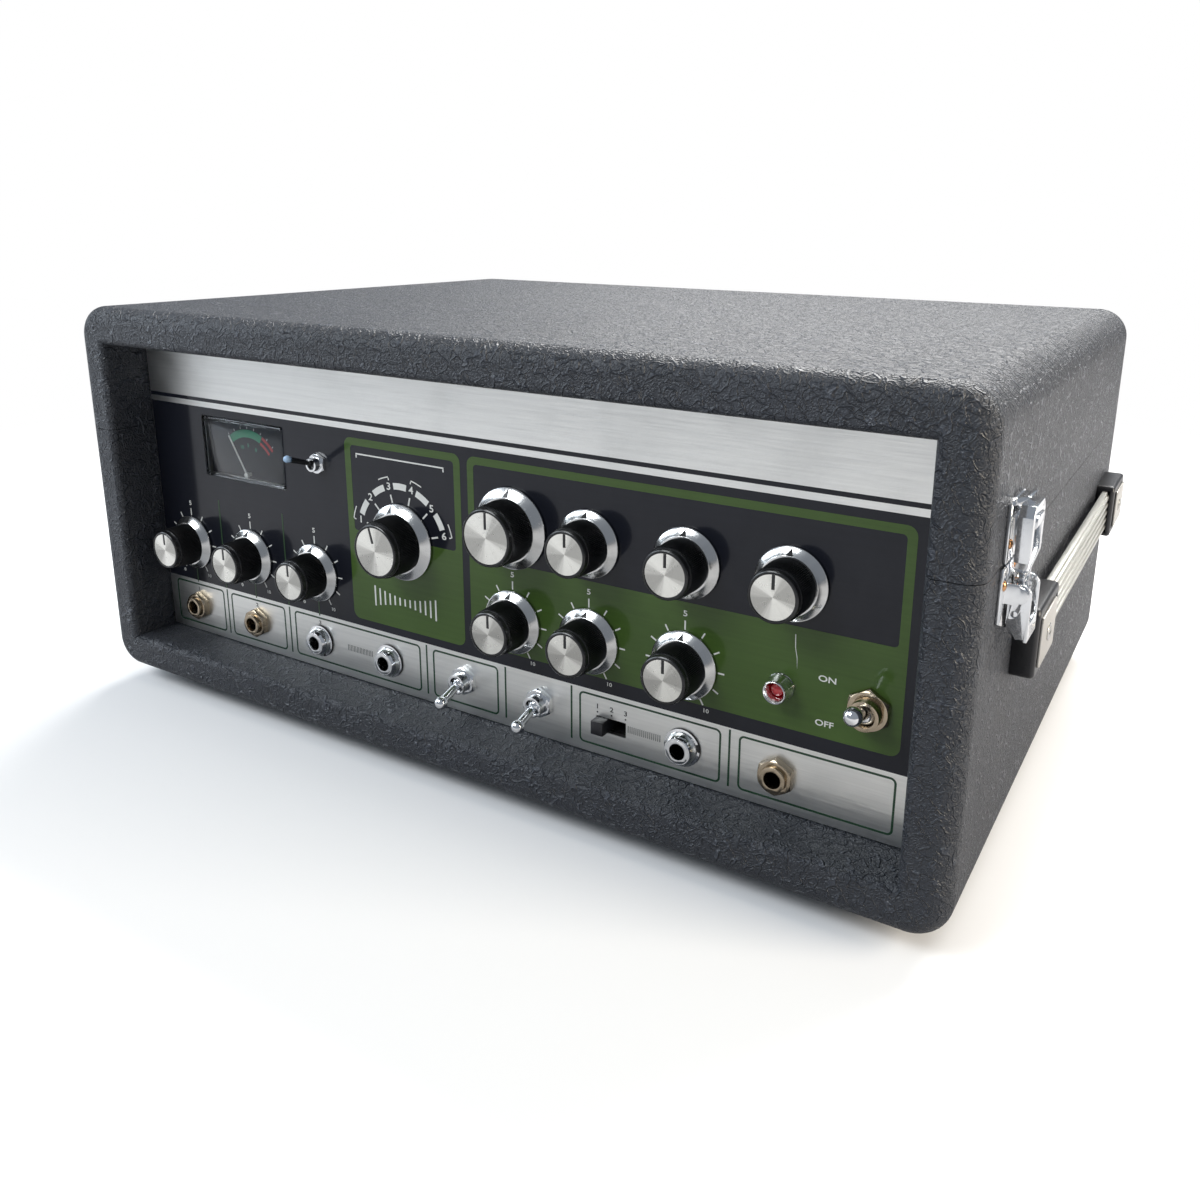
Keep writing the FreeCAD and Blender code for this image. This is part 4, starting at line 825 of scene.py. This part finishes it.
class ECHO_OT_panel(bpy.types.Operator):
    """Lay the brushed panel and its printed fields, lines and figures"""

    bl_idname = "echo.panel"
    bl_label = "Print Panel"

    def execute(self, context):
        sizes = context.scene.echo_sizes
        paint("front_panel", "panel_metal")
        paint("chassis", "zinc_sheet")
        low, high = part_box("meter_window")
        meter = [c / MM for c in (low.x, high.x, low.z, high.z)]
        mini, power, lamp = [middle(n) for n in ("toggle_meter", "toggle_power", "lamp_bezel")]
        power_hole = ring_of(power.x, POWER_HOLE_V, POWER_HOLE_R)
        lamp_hole = ring_of(lamp.x, lamp.z - FOOT_H, LAMP_HOLE_R)
        gap = 0.15
        meter_hole = frame_of(
            meter[0] - gap, meter[1] + gap, meter[2] - FOOT_H - gap, meter[3] - FOOT_H + gap,
        )
        mini_hole = ring_of(mini.x, MINI_HOLE_V, MINI_HOLE_R)
        field = [frame_of(*FIELD), meter_hole, mini_hole, power_hole, lamp_hole]
        printed("panel_black", field, 0, "black_lacquer")
        printed("panel_line", [frame_of(*TOP_LINE)], 0, "black_lacquer")
        outer, inner = MODE_BOX
        printed("panel_green_mode", [frame_of(*outer, 3.6), frame_of(*inner, 1.6)], 1, "green_lacquer")
        outer, inner = MAIN_BOX
        printed("panel_green_main", [
            frame_of(*outer, 3.6), frame_of(*inner, 1.6), power_hole, lamp_hole,
        ], 1, "green_lacquer")
        self.print_strip(sizes)
        self.print_dials(sizes)
        self.print_mode()
        # A white streak above the power toggle's lever: a painted glint on the green lacquer
        streak = [(144.0, 84.8), (144.3, 84.9), (144.5, 80.0), (145.2, 76.5), (145.3, 72.4), (145.0, 76.4),
                   (144.2, 80.2)]
        printed("panel_scratch", [streak], 2, "white_ink")
        words = [("ON", 156.2, 71.2, 2.1, 1.35), ("OFF", 156.0, 55.0, 2.1, 1.25)]
        lettering("panel_words", words, 2, "white_ink")
        return {"FINISHED"}

    def print_strip(self, sizes):
        line = sizes.strip_line / MM
        outlines = []
        for x0, x1 in STRIP_BOXES:
            outlines += bordered(x0, x1, STRIP_LOW, STRIP_TOP, 2.2, line)
        for x in STRIP_LINES:
            outlines.append(frame_of(x - line / 2, x + line / 2, STRIP_LOW, STRIP_TOP + 1.0))
        printed("strip_lines", outlines, 0, "green_ink")
        places = knob_places()
        rows = [spoke(x, 0, 0, 44.2, 88.0, 0.7) for x in DIVIDERS]
        rows += [spoke(places[n][0], 0, 0, 43.2, 50.2, 0.7) for n in DIAL_KNOBS[:3]]
        printed("divider_lines", rows, 1, "divider_ink")
        x0, x1, v0, v1 = HATCH
        count = 17
        marks = []
        for start, end in ((x0, x1), (-67.0, -52.5)):
            step = (end - start) / (count - 1)
            for i in range(count):
                marks.append(frame_of(start + i * step - 0.13, start + i * step + 0.13, v0, v1))
        marks += [ring_of(x, 35.3, 0.35, 12) for x in SLIDE_MARKS]
        printed("strip_hatch", marks, 0, "black_ink")
        words = [(str(i + 1), x, 37.6, 1.9, 1.2) for i, x in enumerate(SLIDE_MARKS)]
        words += [(str(i + 1), x, 39.6, 1.7, 1.3) for i, x in enumerate((-168.0, -126.0, -84.0))]
        lettering("strip_figures", words, 0, "black_ink")

    def print_dials(self, sizes):
        tick = sizes.tick_wide / MM
        places = knob_places()
        outlines, words = [], []
        for name in DIAL_KNOBS:
            x, v = places[name]
            for degrees in range(-DIAL_TURN, DIAL_TURN + 1, DIAL_STEP):
                far = 17.0 if degrees == 0 else 16.0
                outlines.append(spoke(x, v, degrees, 13.5, far, tick))
            words.append(("5", x, v + 19.6, 2.1, 1.25))
            for text, degrees in (("0", -DIAL_TURN), ("10", DIAL_TURN)):
                a = math.radians(degrees)
                words.append((text, x + 18.3 * math.sin(a), v + 18.3 * math.cos(a), 1.5, 1.2))
        printed("dial_ticks", outlines, 2, "white_ink")
        lettering("dial_figures", words, 2, "white_ink")

    def print_mode(self):
        x, v = knob_places()["knob_mode"]
        outlines = [spoke(x, v, d, 16.9, 20.4, 0.75) for d in MODE_STEPS]
        for start in MODE_STEPS[:-1]:
            outlines.append(band(x, v, 22.4, 25.2, start + 6.5, start + 23.5))
        for start, end in ((-77, -13), (13, 77)):
            for a0, a1 in ((start, start + 12), (end - 12, end)):
                outlines.append(band(x, v, 27.6, 28.1, a0, a1))
            for a in (start, end):
                outlines.append(spoke(x, v, a, 26.4, 27.5, 0.5))
        bars = 13
        for i in range(bars):
            bar_x = x - 17.0 + 34.0 * i / (bars - 1)
            reach = 1.6 + 3.0 * abs(2 * i / (bars - 1) - 1) ** 1.6
            outlines.append(frame_of(bar_x - 0.40, bar_x + 0.40, 60.0 - reach, 60.0 + reach))
        outlines.append(frame_of(x - 24.0, x + 24.0, 121.6, 122.2))
        outlines += [frame_of(x + side * 23.7 - 0.3, x + side * 23.7 + 0.3, 120.2, 121.5) for side in (-1, 1)]
        printed("mode_marks", outlines, 2, "white_ink")
        words = []
        for i, degrees in enumerate(MODE_STEPS):
            a = math.radians(degrees)
            words.append((str(i + 1), x + 23.8 * math.sin(a), v + 23.8 * math.cos(a), 3.0, 1.15))
        lettering("mode_figures", words, 2, "white_ink")


class ECHO_OT_knobs(bpy.types.Operator):
    """Model a fluted knob in two sizes and fit the eleven knobs"""

    bl_idname = "echo.knobs"
    bl_label = "Fit Knobs"

    def execute(self, context):
        masters = {id(LARGE_KNOB): self.model(LARGE_KNOB), id(SMALL_KNOB): self.model(SMALL_KNOB)}
        face_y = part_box("front_panel")[0].y / MM
        for node, size in KNOBS.items():
            piece = twin(masters[id(size)], node + "_finish")
            degrees = MODE_REST if node == "knob_mode" else 0
            turn = FACE_FRONT @ Matrix.Rotation(-math.radians(degrees), 4, "Z")
            x, v = knob_places()[node]
            placed(piece, turn, (x, face_y, v + FOOT_H))
            stands_for(piece, node)
        for master in masters.values():
            bpy.data.objects.remove(master)
        return {"FINISHED"}

    def model(self, size):
        sizes = bpy.context.scene.echo_sizes
        body_r, collar_r, cap_r, skirt_r = size["body"], size["collar"], size["cap"], size["skirt"]
        count = size["flutes"] * 2
        body = turned("knob_body", [
            (body_r - 0.6, 1.2), (body_r - 0.2, 3.4), (body_r, 4.4), (body_r - 0.2, 9.0),
            (body_r - 0.35, 13.3),
            (body_r - 0.75, 14.1), (collar_r + 0.1, 14.15), (collar_r, 14.3), (collar_r, 15.7),
            (collar_r - 0.12, 16.15), (collar_r - 0.45, 16.42), (cap_r + 0.25, 16.5), (cap_r + 0.05, 16.42),
            (cap_r, 16.0), (0, 16.0),
        ], count)
        edit(body)
        fluted = (3.3, 13.5)

        def in_flute(place):
            around = round(math.atan2(place.y, place.x) / (2 * math.pi) * count) % 2
            return fluted[0] < place.z < fluted[1] and around == 1

        select(body, in_flute)
        share = 1 - sizes.flute_deep / MM / body_r
        bpy.ops.transform.resize(value=(share, share, 1), center_override=(0, 0, 0))
        leave_edit()
        smoothed(body, 24)
        dress(body, "knob_plastic", "knob_gloss")
        for face in body.data.polygons:
            face.material_index = 1 if face.center.z / MM > 13.6 else 0
        skirt = turned("knob_skirt", [
            (body_r - 0.5, 0.5), (skirt_r - 0.35, 0.5), (skirt_r - 0.05, 0.62), (skirt_r, 0.8),
            (skirt_r, 1.1),
            (skirt_r - 0.12, 1.28), (skirt_r - 0.5, 1.4), (body_r + 0.9, 3.55), (body_r + 0.55, 3.85),
            (body_r - 0.1, 3.9),
        ], 96)
        dress(skirt, "knob_skirt")
        cap = turned("knob_cap", [
            (cap_r, 15.9), (cap_r, 16.12), (cap_r - 0.12, 16.24), (cap_r - 0.5, 16.26), (0.3, 16.2),
            (0, 16.2),
        ], 96)
        dress(cap, "knob_cap")
        pointer = block("knob_line", (-0.58, cap_r * 0.34, 16.15), (0.58, cap_r - 0.15, 16.31), 0.05, 1)
        dress(pointer, "pointer_ink")
        arrow = self.arrow(body_r, skirt_r)
        rod = [(0, -12.0), (2.6, -12.0), (3.0, -11.6), (3.0, 8.4), (0, 8.4)]
        shaft = dress(turned("knob_shaft", rod, 24), "brass")
        knob = merged("knob_master", [body, skirt, cap, pointer, arrow, shaft])
        plan = knob.data.uv_layers.get("plan") or knob.data.uv_layers.new(name="plan")
        for loop in knob.data.loops:
            place = knob.data.vertices[loop.vertex_index].co / MM
            plan.data[loop.index].uv = (place.x, place.y)
        while len(knob.data.uv_layers) > 1:
            knob.data.uv_layers.remove(next(u for u in knob.data.uv_layers if u.name != "plan"))
        return knob

    def arrow(self, body_r, skirt_r):
        """A slim triangle on the cone of the skirt, its tip outward."""
        near, far = body_r + 0.70, skirt_r - 0.50
        slope = math.atan2(3.55 - 1.4, (skirt_r - 0.5) - (body_r + 0.9))
        half = (far - near) / 2
        pick_only()
        bpy.ops.mesh.primitive_cylinder_add(vertices=3, radius=1.0, depth=0.08 * MM)
        piece = bpy.context.view_layer.objects.active
        edit(piece)
        bpy.ops.mesh.select_all(action="SELECT")
        reach = half / 0.75 / math.cos(slope)
        bpy.ops.transform.resize(value=(1.45 * MM, reach * MM, 1), center_override=(0, 0, 0))
        leave_edit()
        middle_r = (near + far) / 2
        height = 3.55 - (middle_r - body_r - 0.9) * math.tan(slope)
        place = Vector((0, middle_r - half / 3, height + half / 3 * math.tan(slope) + 0.09))
        piece.matrix_world = Matrix.Translation(place * MM) @ Matrix.Rotation(-slope, 4, "X")
        return dress(settled(piece, "knob_arrow"), "pointer_ink")


class ECHO_OT_sockets(bpy.types.Operator):
    """Finish the jack sockets and their nuts"""

    bl_idname = "echo.sockets"
    bl_label = "Fit Sockets"

    def execute(self, context):
        panel_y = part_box("front_panel")[0].y / MM
        domed = (-84.0, -42.0, 102.6)

        def pick(place):
            x = min(domed, key=lambda d: abs(d - place.x))
            near = abs(place.x - x) < 9
            radius = math.hypot(place.x - x, place.z - SOCKET_Z)
            if near and radius > 6.4 and place.y > panel_y - 1.0:
                return 2
            return 1 if near else 0

        softened("jack_sockets", 0.18, 2, names=("worn_nickel", "chrome", "black_rubber"), pick=pick)
        paint("jack_bodies", "black_plastic")
        paint("potentiometers", "zinc_sheet")
        return {"FINISHED"}


class ECHO_OT_switches(bpy.types.Operator):
    """Finish the toggle switches and the slide switch"""

    bl_idname = "echo.switches"
    bl_label = "Fit Switches"

    def execute(self, context):
        def pick(place):
            return 1 if place.x > 150 else 0

        softened("toggle_bushings", 0.15, 2, names=("chrome", "worn_nickel"), pick=pick)
        for node in ("toggle_power", "toggle_input", "toggle_output"):
            softened(node, 0.05, 1, 60, names=("chrome",))
        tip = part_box("toggle_meter")[0].y / MM + 3.6
        softened("toggle_meter", 0.05, 1, 60, names=("black_plastic", "blue_sleeve"),
                 pick=lambda place: 1 if place.y < tip else 0)
        softened("slide_knob", 0.35, 2, names=("black_plastic",))
        paint("slide_switch", "black_plastic")
        return {"FINISHED"}


class ECHO_OT_meter(bpy.types.Operator):
    """Finish the level meter and print its dial"""

    bl_idname = "echo.meter"
    bl_label = "Fit Meter"

    def execute(self, context):
        softened("meter_window", 0.7, 3, names=("clear_window",))
        paint("meter_body", "black_plastic")
        paint("meter_dial", "dial_face")
        softened("meter_needle", 0.08, 1, names=("needle_paint",))
        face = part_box("meter_dial")[0].y
        x = middle("meter_dial").x
        v = METER_PIVOT_V
        printed("meter_green", [band(x, v, 17.2, 20.8, -36, 27, 24)], 0, "dial_green", face, "meter_dial")
        printed("meter_red", [band(x, v, 19.6, 21.0, 28, 52, 12), band(x, v, 16.8, 18.0, 28, 52, 12)],
                0, "dial_red", face, "meter_dial")
        ticks = [spoke(x, v, d, 21.2, 22.2, 0.3) for d in range(-36, 50, 12)]
        printed("meter_ticks", ticks, 0, "white_ink", face, "meter_dial")
        words = [(t, x + 10.5 * math.sin(math.radians(d)), v + 13.4 * math.cos(math.radians(d)), 1.6, 1.1)
                 for t, d in (("10", -24), ("5", 0), ("0", 28))]
        lettering("meter_figures", words, 0, "dial_green", face, "meter_dial")
        return {"FINISHED"}


class ECHO_OT_lamp(bpy.types.Operator):
    """Fit the pilot lamp's bright collar and red lens"""

    bl_idname = "echo.lamp"
    bl_label = "Fit Lamp"

    def execute(self, context):
        place = middle("lamp_bezel")
        panel_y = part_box("front_panel")[0].y / MM
        at = (place.x, panel_y, place.z)
        collar = turned("lamp_bezel_finish", [
            (3.7, -9.0), (4.0, -9.0), (4.0, 0.0), (5.0, 0.0), (5.0, 0.9), (4.75, 1.2), (4.3, 6.3),
            (4.15, 6.8),
            (3.9, 7.0), (3.65, 6.9), (3.4, 6.5), (2.5, 3.6), (2.45, -8.8), (3.7, -9.0),
        ], 64)
        placed(dress(collar, "lamp_chrome"), FACE_FRONT, at)
        stands_for(collar, "lamp_bezel")
        dome = [(0, -6.0), (2.35, -6.0), (2.35, 3.4)]
        dome += [(2.35 * math.cos(a), 3.4 + 1.5 * math.sin(a)) for a in (0.3, 0.6, 0.9, 1.15, 1.35)]
        dome.append((0, 4.9))
        jewel = placed(dress(turned("lamp_lens_finish", dome, 48), "red_lens"), FACE_FRONT, at)
        stands_for(jewel, "lamp_lens")
        return {"FINISHED"}


class ECHO_OT_latches(bpy.types.Operator):
    """Finish the two draw latches"""

    bl_idname = "echo.latches"
    bl_label = "Fit Latches"

    def execute(self, context):
        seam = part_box("case")[1].z / MM
        plates = softened("latch_plates", 0.25, 2, names=("chrome",))
        squeezed(plates, lambda place: place.z < seam - 13.0, (1, 1, 0.72), (0, 0, seam - 13.0))
        keepers = softened("latch_keepers", 0.3, 2, names=("chrome",))
        squeezed(keepers, lambda place: place.z > seam + 16.5, (1, 1, 0.42), (0, 0, seam + 16.5))
        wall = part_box("case")[1].x / MM
        self.rivets(wall, seam)
        for side, sign in (("right", 1), ("left", -1)):
            lever = softened("latch_lever_" + side, 0.35, 3, names=("chrome",))
            squeezed(lever, lambda place: place.z < seam - 19.2, (1, 1, 0.45), (0, 0, seam - 18.6))
            loop = softened("latch_loop_" + side, 0.7, 3, names=("chrome",))
            squeezed(loop, lambda place: place.z > seam - 1.0, (1.5, 1, 1), (sign * (wall + 2.9), 0, 0))
        return {"FINISHED"}

    def rivets(self, wall, seam):
        y = middle("latch_lever_right").y
        for side, turn in ((1, FACE_RIGHT), (-1, FACE_LEFT)):
            suffix = "right" if side > 0 else "left"
            face = side * (wall + 1.2)
            for part, z, apart, radius in (("plate", -6.0, 10.4, 1.7), ("keeper", 6.5, 8.0, 1.6)):
                spots = [(face, y + d, seam + z) for d in (-apart, apart)]
                screws(part + "_rivets_" + suffix, "latch_" + part + "s", spots, turn, radius, 0.9,
                       "copper_rivet", cross=False)


def squeezed(piece, test, scale, centre):
    """Stretch or squeeze the vertices that pass a test about a point in mm."""
    edit(piece)
    select(piece, test)
    bpy.ops.transform.resize(value=scale, center_override=Vector(centre) * MM)
    leave_edit()


class ECHO_OT_handle(bpy.types.Operator):
    """Finish the strap handle and its end caps"""

    bl_idname = "echo.handle"
    bl_label = "Fit Handle"

    def execute(self, context):
        for part, edge, name in (
            ("strap", 0.2, "strap_vinyl"), ("caps", 0.3, "black_plastic"), ("inlays", 0.25, "inlay_metal"),
        ):
            softened("handle_" + part, edge, 2, names=(name,))
        low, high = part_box("handle_inlays")
        z = (low.z + high.z) / 2 / MM
        spots = [(high.x / MM, y, z) for y in (low.y / MM + 13.5, high.y / MM - 13.5)]
        screws("handle_screws", "handle_inlays", spots, FACE_RIGHT, 3.2, 0.7)
        return {"FINISHED"}


class ECHO_OT_back(bpy.types.Operator):
    """Finish the hinges, the back plate and the mains inlet"""

    bl_idname = "echo.back"
    bl_label = "Fit Back"

    def execute(self, context):
        for node in ("hinge_leaves_case", "hinge_leaves_lid"):
            softened(node, 0.25, 2, names=("bright_nickel",))
        paint("back_plate", "black_sheet")
        softened("mains_inlet", 0.3, 2, names=("black_plastic",))
        paint("circuit_board", "board_resin")
        paint("transformer", "iron_core")
        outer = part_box("case")[1].y / MM + 1.4
        middle_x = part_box("hinge_leaves_case")[1].x / MM - 22.0
        for node, z in (("hinge_leaves_case", 117.0), ("hinge_leaves_lid", 139.0)):
            spots = [(side * middle_x + step, outer, z) for side in (-1, 1) for step in (-15, 0, 15)]
            screws(node + "_screws", node, spots, FACE_BACK, 2.6, 1.1)
        low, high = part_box("back_plate")
        spots = [(x, high.y / MM, z) for x in (low.x / MM + 12, high.x / MM - 12) for z in (47.0, 89.0)]
        screws("back_screws", "back_plate", spots, FACE_BACK, 2.6, 1.2)
        return {"FINISHED"}


class ECHO_OT_deck(bpy.types.Operator):
    """Finish the tape deck under the lid"""

    bl_idname = "echo.deck"
    bl_label = "Fit Deck"

    def execute(self, context):
        for node, name in (
            ("deck_plate", "deck_metal"), ("deck_rails", "zinc_sheet"), ("tape_loop", "tape"),
            ("capstan", "head_metal"), ("capstan_motor", "zinc_sheet"),
        ):
            paint(node, name)
        for node, edge, steps, name in (
            ("deck_posts", 0.15, 2, "head_metal"), ("tape_tray", 0.3, 2, "tray_plastic"),
            ("tray_cover", 0.5, 2, "smoked_cover"), ("tape_heads", 0.4, 3, "head_metal"),
            ("head_brackets", 0.2, 1, "deck_metal"), ("pressure_pads", 0.3, 2, "felt"),
            ("pinch_roller", 0.4, 2, "black_rubber"), ("pinch_arm", 0.3, 2, "bright_nickel"),
        ):
            softened(node, edge, steps, names=(name,))
        low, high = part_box("deck_plate")
        spots = [(x, y, high.z / MM) for x in (low.x / MM + 8, high.x / MM - 8)
                 for y in (low.y / MM + 8, 12.0, high.y / MM - 8)]
        screws("deck_screws", "deck_plate", spots, None, 2.8, 1.2)
        low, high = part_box("tray_cover")
        spots = [(x, y, high.z / MM) for x in (low.x / MM + 7, high.x / MM - 7)
                 for y in (low.y / MM + 7, high.y / MM - 7)]
        screws("cover_screws", "tray_cover", spots, None, 2.4, 1.1, "brass")
        return {"FINISHED"}


class ECHO_OT_stage(bpy.types.Operator):
    """Set the floor, the lamps and the camera"""

    bl_idname = "echo.stage"
    bl_label = "Set Stage"

    def execute(self, context):
        self.floor()
        self.lamps(context)
        self.camera(context)
        context.scene.view_settings.view_transform = "Standard"
        return {"FINISHED"}

    def floor(self):
        """A pale floor that fades to white away from the unit and is greyer in reflections."""
        pick_only()
        bpy.ops.mesh.primitive_plane_add(size=12)
        floor = settled(bpy.context.view_layer.objects.active, "stage_floor")
        g = Graph("stage_floor")
        away = g.node("ShaderNodeVectorMath", {"operation": "LENGTH"}, {0: g.place}, 1)
        seen = g.node("ShaderNodeLightPath")
        pale = g.node("ShaderNodeBsdfDiffuse", None, {"Color": (0.86, 0.86, 0.86, 1)})
        grey = g.node("ShaderNodeBsdfDiffuse", None, {"Color": (0.44, 0.44, 0.45, 1)})
        white = g.node("ShaderNodeEmission", None, {"Color": (1, 1, 1, 1), "Strength": 1.0})
        lit = g.node("ShaderNodeMixShader", None, {0: g.between(away, 330.0, 900.0), 1: pale, 2: white})
        mixed = g.node("ShaderNodeMixShader", None, {0: seen, 1: grey, 2: lit})
        g.node("ShaderNodeOutputMaterial", None, {0: mixed})
        floor.data.materials.append(g.material)

    def lamps(self, context):
        world = bpy.data.worlds.new("studio")
        context.scene.world = world
        world.use_nodes = True
        nodes, links = world.node_tree.nodes, world.node_tree.links
        nodes.clear()
        path = nodes.new("ShaderNodeLightPath")
        soft = nodes.new("ShaderNodeBackground")
        soft.inputs["Color"].default_value = (0.80, 0.88, 1.0, 1)
        soft.inputs["Strength"].default_value = 0.34
        white = nodes.new("ShaderNodeBackground")
        white.inputs["Color"].default_value = (1, 1, 1, 1)
        mixed = nodes.new("ShaderNodeMixShader")
        out = nodes.new("ShaderNodeOutputWorld")
        links.new(path.outputs["Is Camera Ray"], mixed.inputs[0])
        links.new(soft.outputs[0], mixed.inputs[1])
        links.new(white.outputs[0], mixed.inputs[2])
        links.new(mixed.outputs[0], out.inputs[0])
        for name, place, size, power, tint in (
            ("key", (-0.7, -1.3, 1.5), (1.0, 0.7), 22.0, (0.93, 0.97, 1.0)),
            ("window", (-1.7, -0.7, 0.8), (0.8, 1.3), 15.0, (0.82, 0.91, 1.0)),
            ("side", (1.7, 0.1, 0.8), (0.8, 1.0), 36.0, (1.0, 0.90, 0.76)),
            ("top", (0.0, 1.1, 1.3), (1.8, 0.9), 58.0, (1.0, 0.99, 0.97)),
        ):
            lamp = bpy.data.lights.new(name, "AREA")
            lamp.shape = "RECTANGLE"
            lamp.size, lamp.size_y = size
            lamp.energy = power
            lamp.color = tint
            holder = bpy.data.objects.new(name, lamp)
            context.scene.collection.objects.link(holder)
            holder.location = place
            aim = Vector((0, 0, 0.09)) - Vector(place)
            holder.rotation_mode = "QUATERNION"
            holder.rotation_quaternion = aim.to_track_quat("-Z", "Y")

    def camera(self, context):
        data = bpy.data.cameras.new("photo_camera")
        holder = bpy.data.objects.new("photo_camera", data)
        context.scene.collection.objects.link(holder)
        a, e, r = (math.radians(v) for v in (CAMERA_AZIMUTH, CAMERA_ELEVATION, CAMERA_ROLL))
        back = Vector((math.sin(a) * math.cos(e), -math.cos(a) * math.cos(e), math.sin(e)))
        right = (-back).cross(Vector((0, 0, 1))).normalized()
        up = right.cross(-back)
        right_r = right * math.cos(r) + up * math.sin(r)
        up_r = up * math.cos(r) - right * math.sin(r)
        turn = Matrix((right_r, up_r, back)).transposed()
        holder.matrix_world = Matrix.Translation(CAMERA_PLACE) @ turn.to_4x4()
        data.sensor_width = 36.0
        data.lens = CAMERA_LENS
        data.shift_x, data.shift_y = CAMERA_SHIFT
        data.clip_start, data.clip_end = 0.01, 50.0
        context.scene.camera = holder


STEPS = (
    ECHO_OT_cover, ECHO_OT_panel, ECHO_OT_knobs, ECHO_OT_sockets, ECHO_OT_switches, ECHO_OT_meter,
    ECHO_OT_lamp, ECHO_OT_latches, ECHO_OT_handle, ECHO_OT_back, ECHO_OT_deck, ECHO_OT_stage,
)


class ECHO_PT_steps(bpy.types.Panel):
    """Lists the steps and their values in the sidebar"""

    bl_idname = "ECHO_PT_steps"
    bl_label = "Tape Echo Unit"
    bl_space_type = "VIEW_3D"
    bl_region_type = "UI"
    bl_category = "Echo"

    def draw(self, context):
        for group in (context.scene.echo_sizes, context.scene.echo_colours):
            for key in group.bl_rna.properties.keys():
                if key not in ("rna_type", "name"):
                    self.layout.prop(group, key)
        for step in STEPS:
            self.layout.operator(step.bl_idname)


CLASSES = (EchoSizes, EchoColours, *STEPS, ECHO_PT_steps)


def register():
    for kind in CLASSES:
        bpy.utils.register_class(kind)
    bpy.types.Scene.echo_sizes = bpy.props.PointerProperty(type=EchoSizes)
    bpy.types.Scene.echo_colours = bpy.props.PointerProperty(type=EchoColours)


def unregister():
    del bpy.types.Scene.echo_colours
    del bpy.types.Scene.echo_sizes
    for kind in reversed(CLASSES):
        bpy.utils.unregister_class(kind)


def main():
    register()
    for step in STEPS:
        group, name = step.bl_idname.split(".")
        getattr(getattr(bpy.ops, group), name)()


if __name__ == "__main__":
    main()
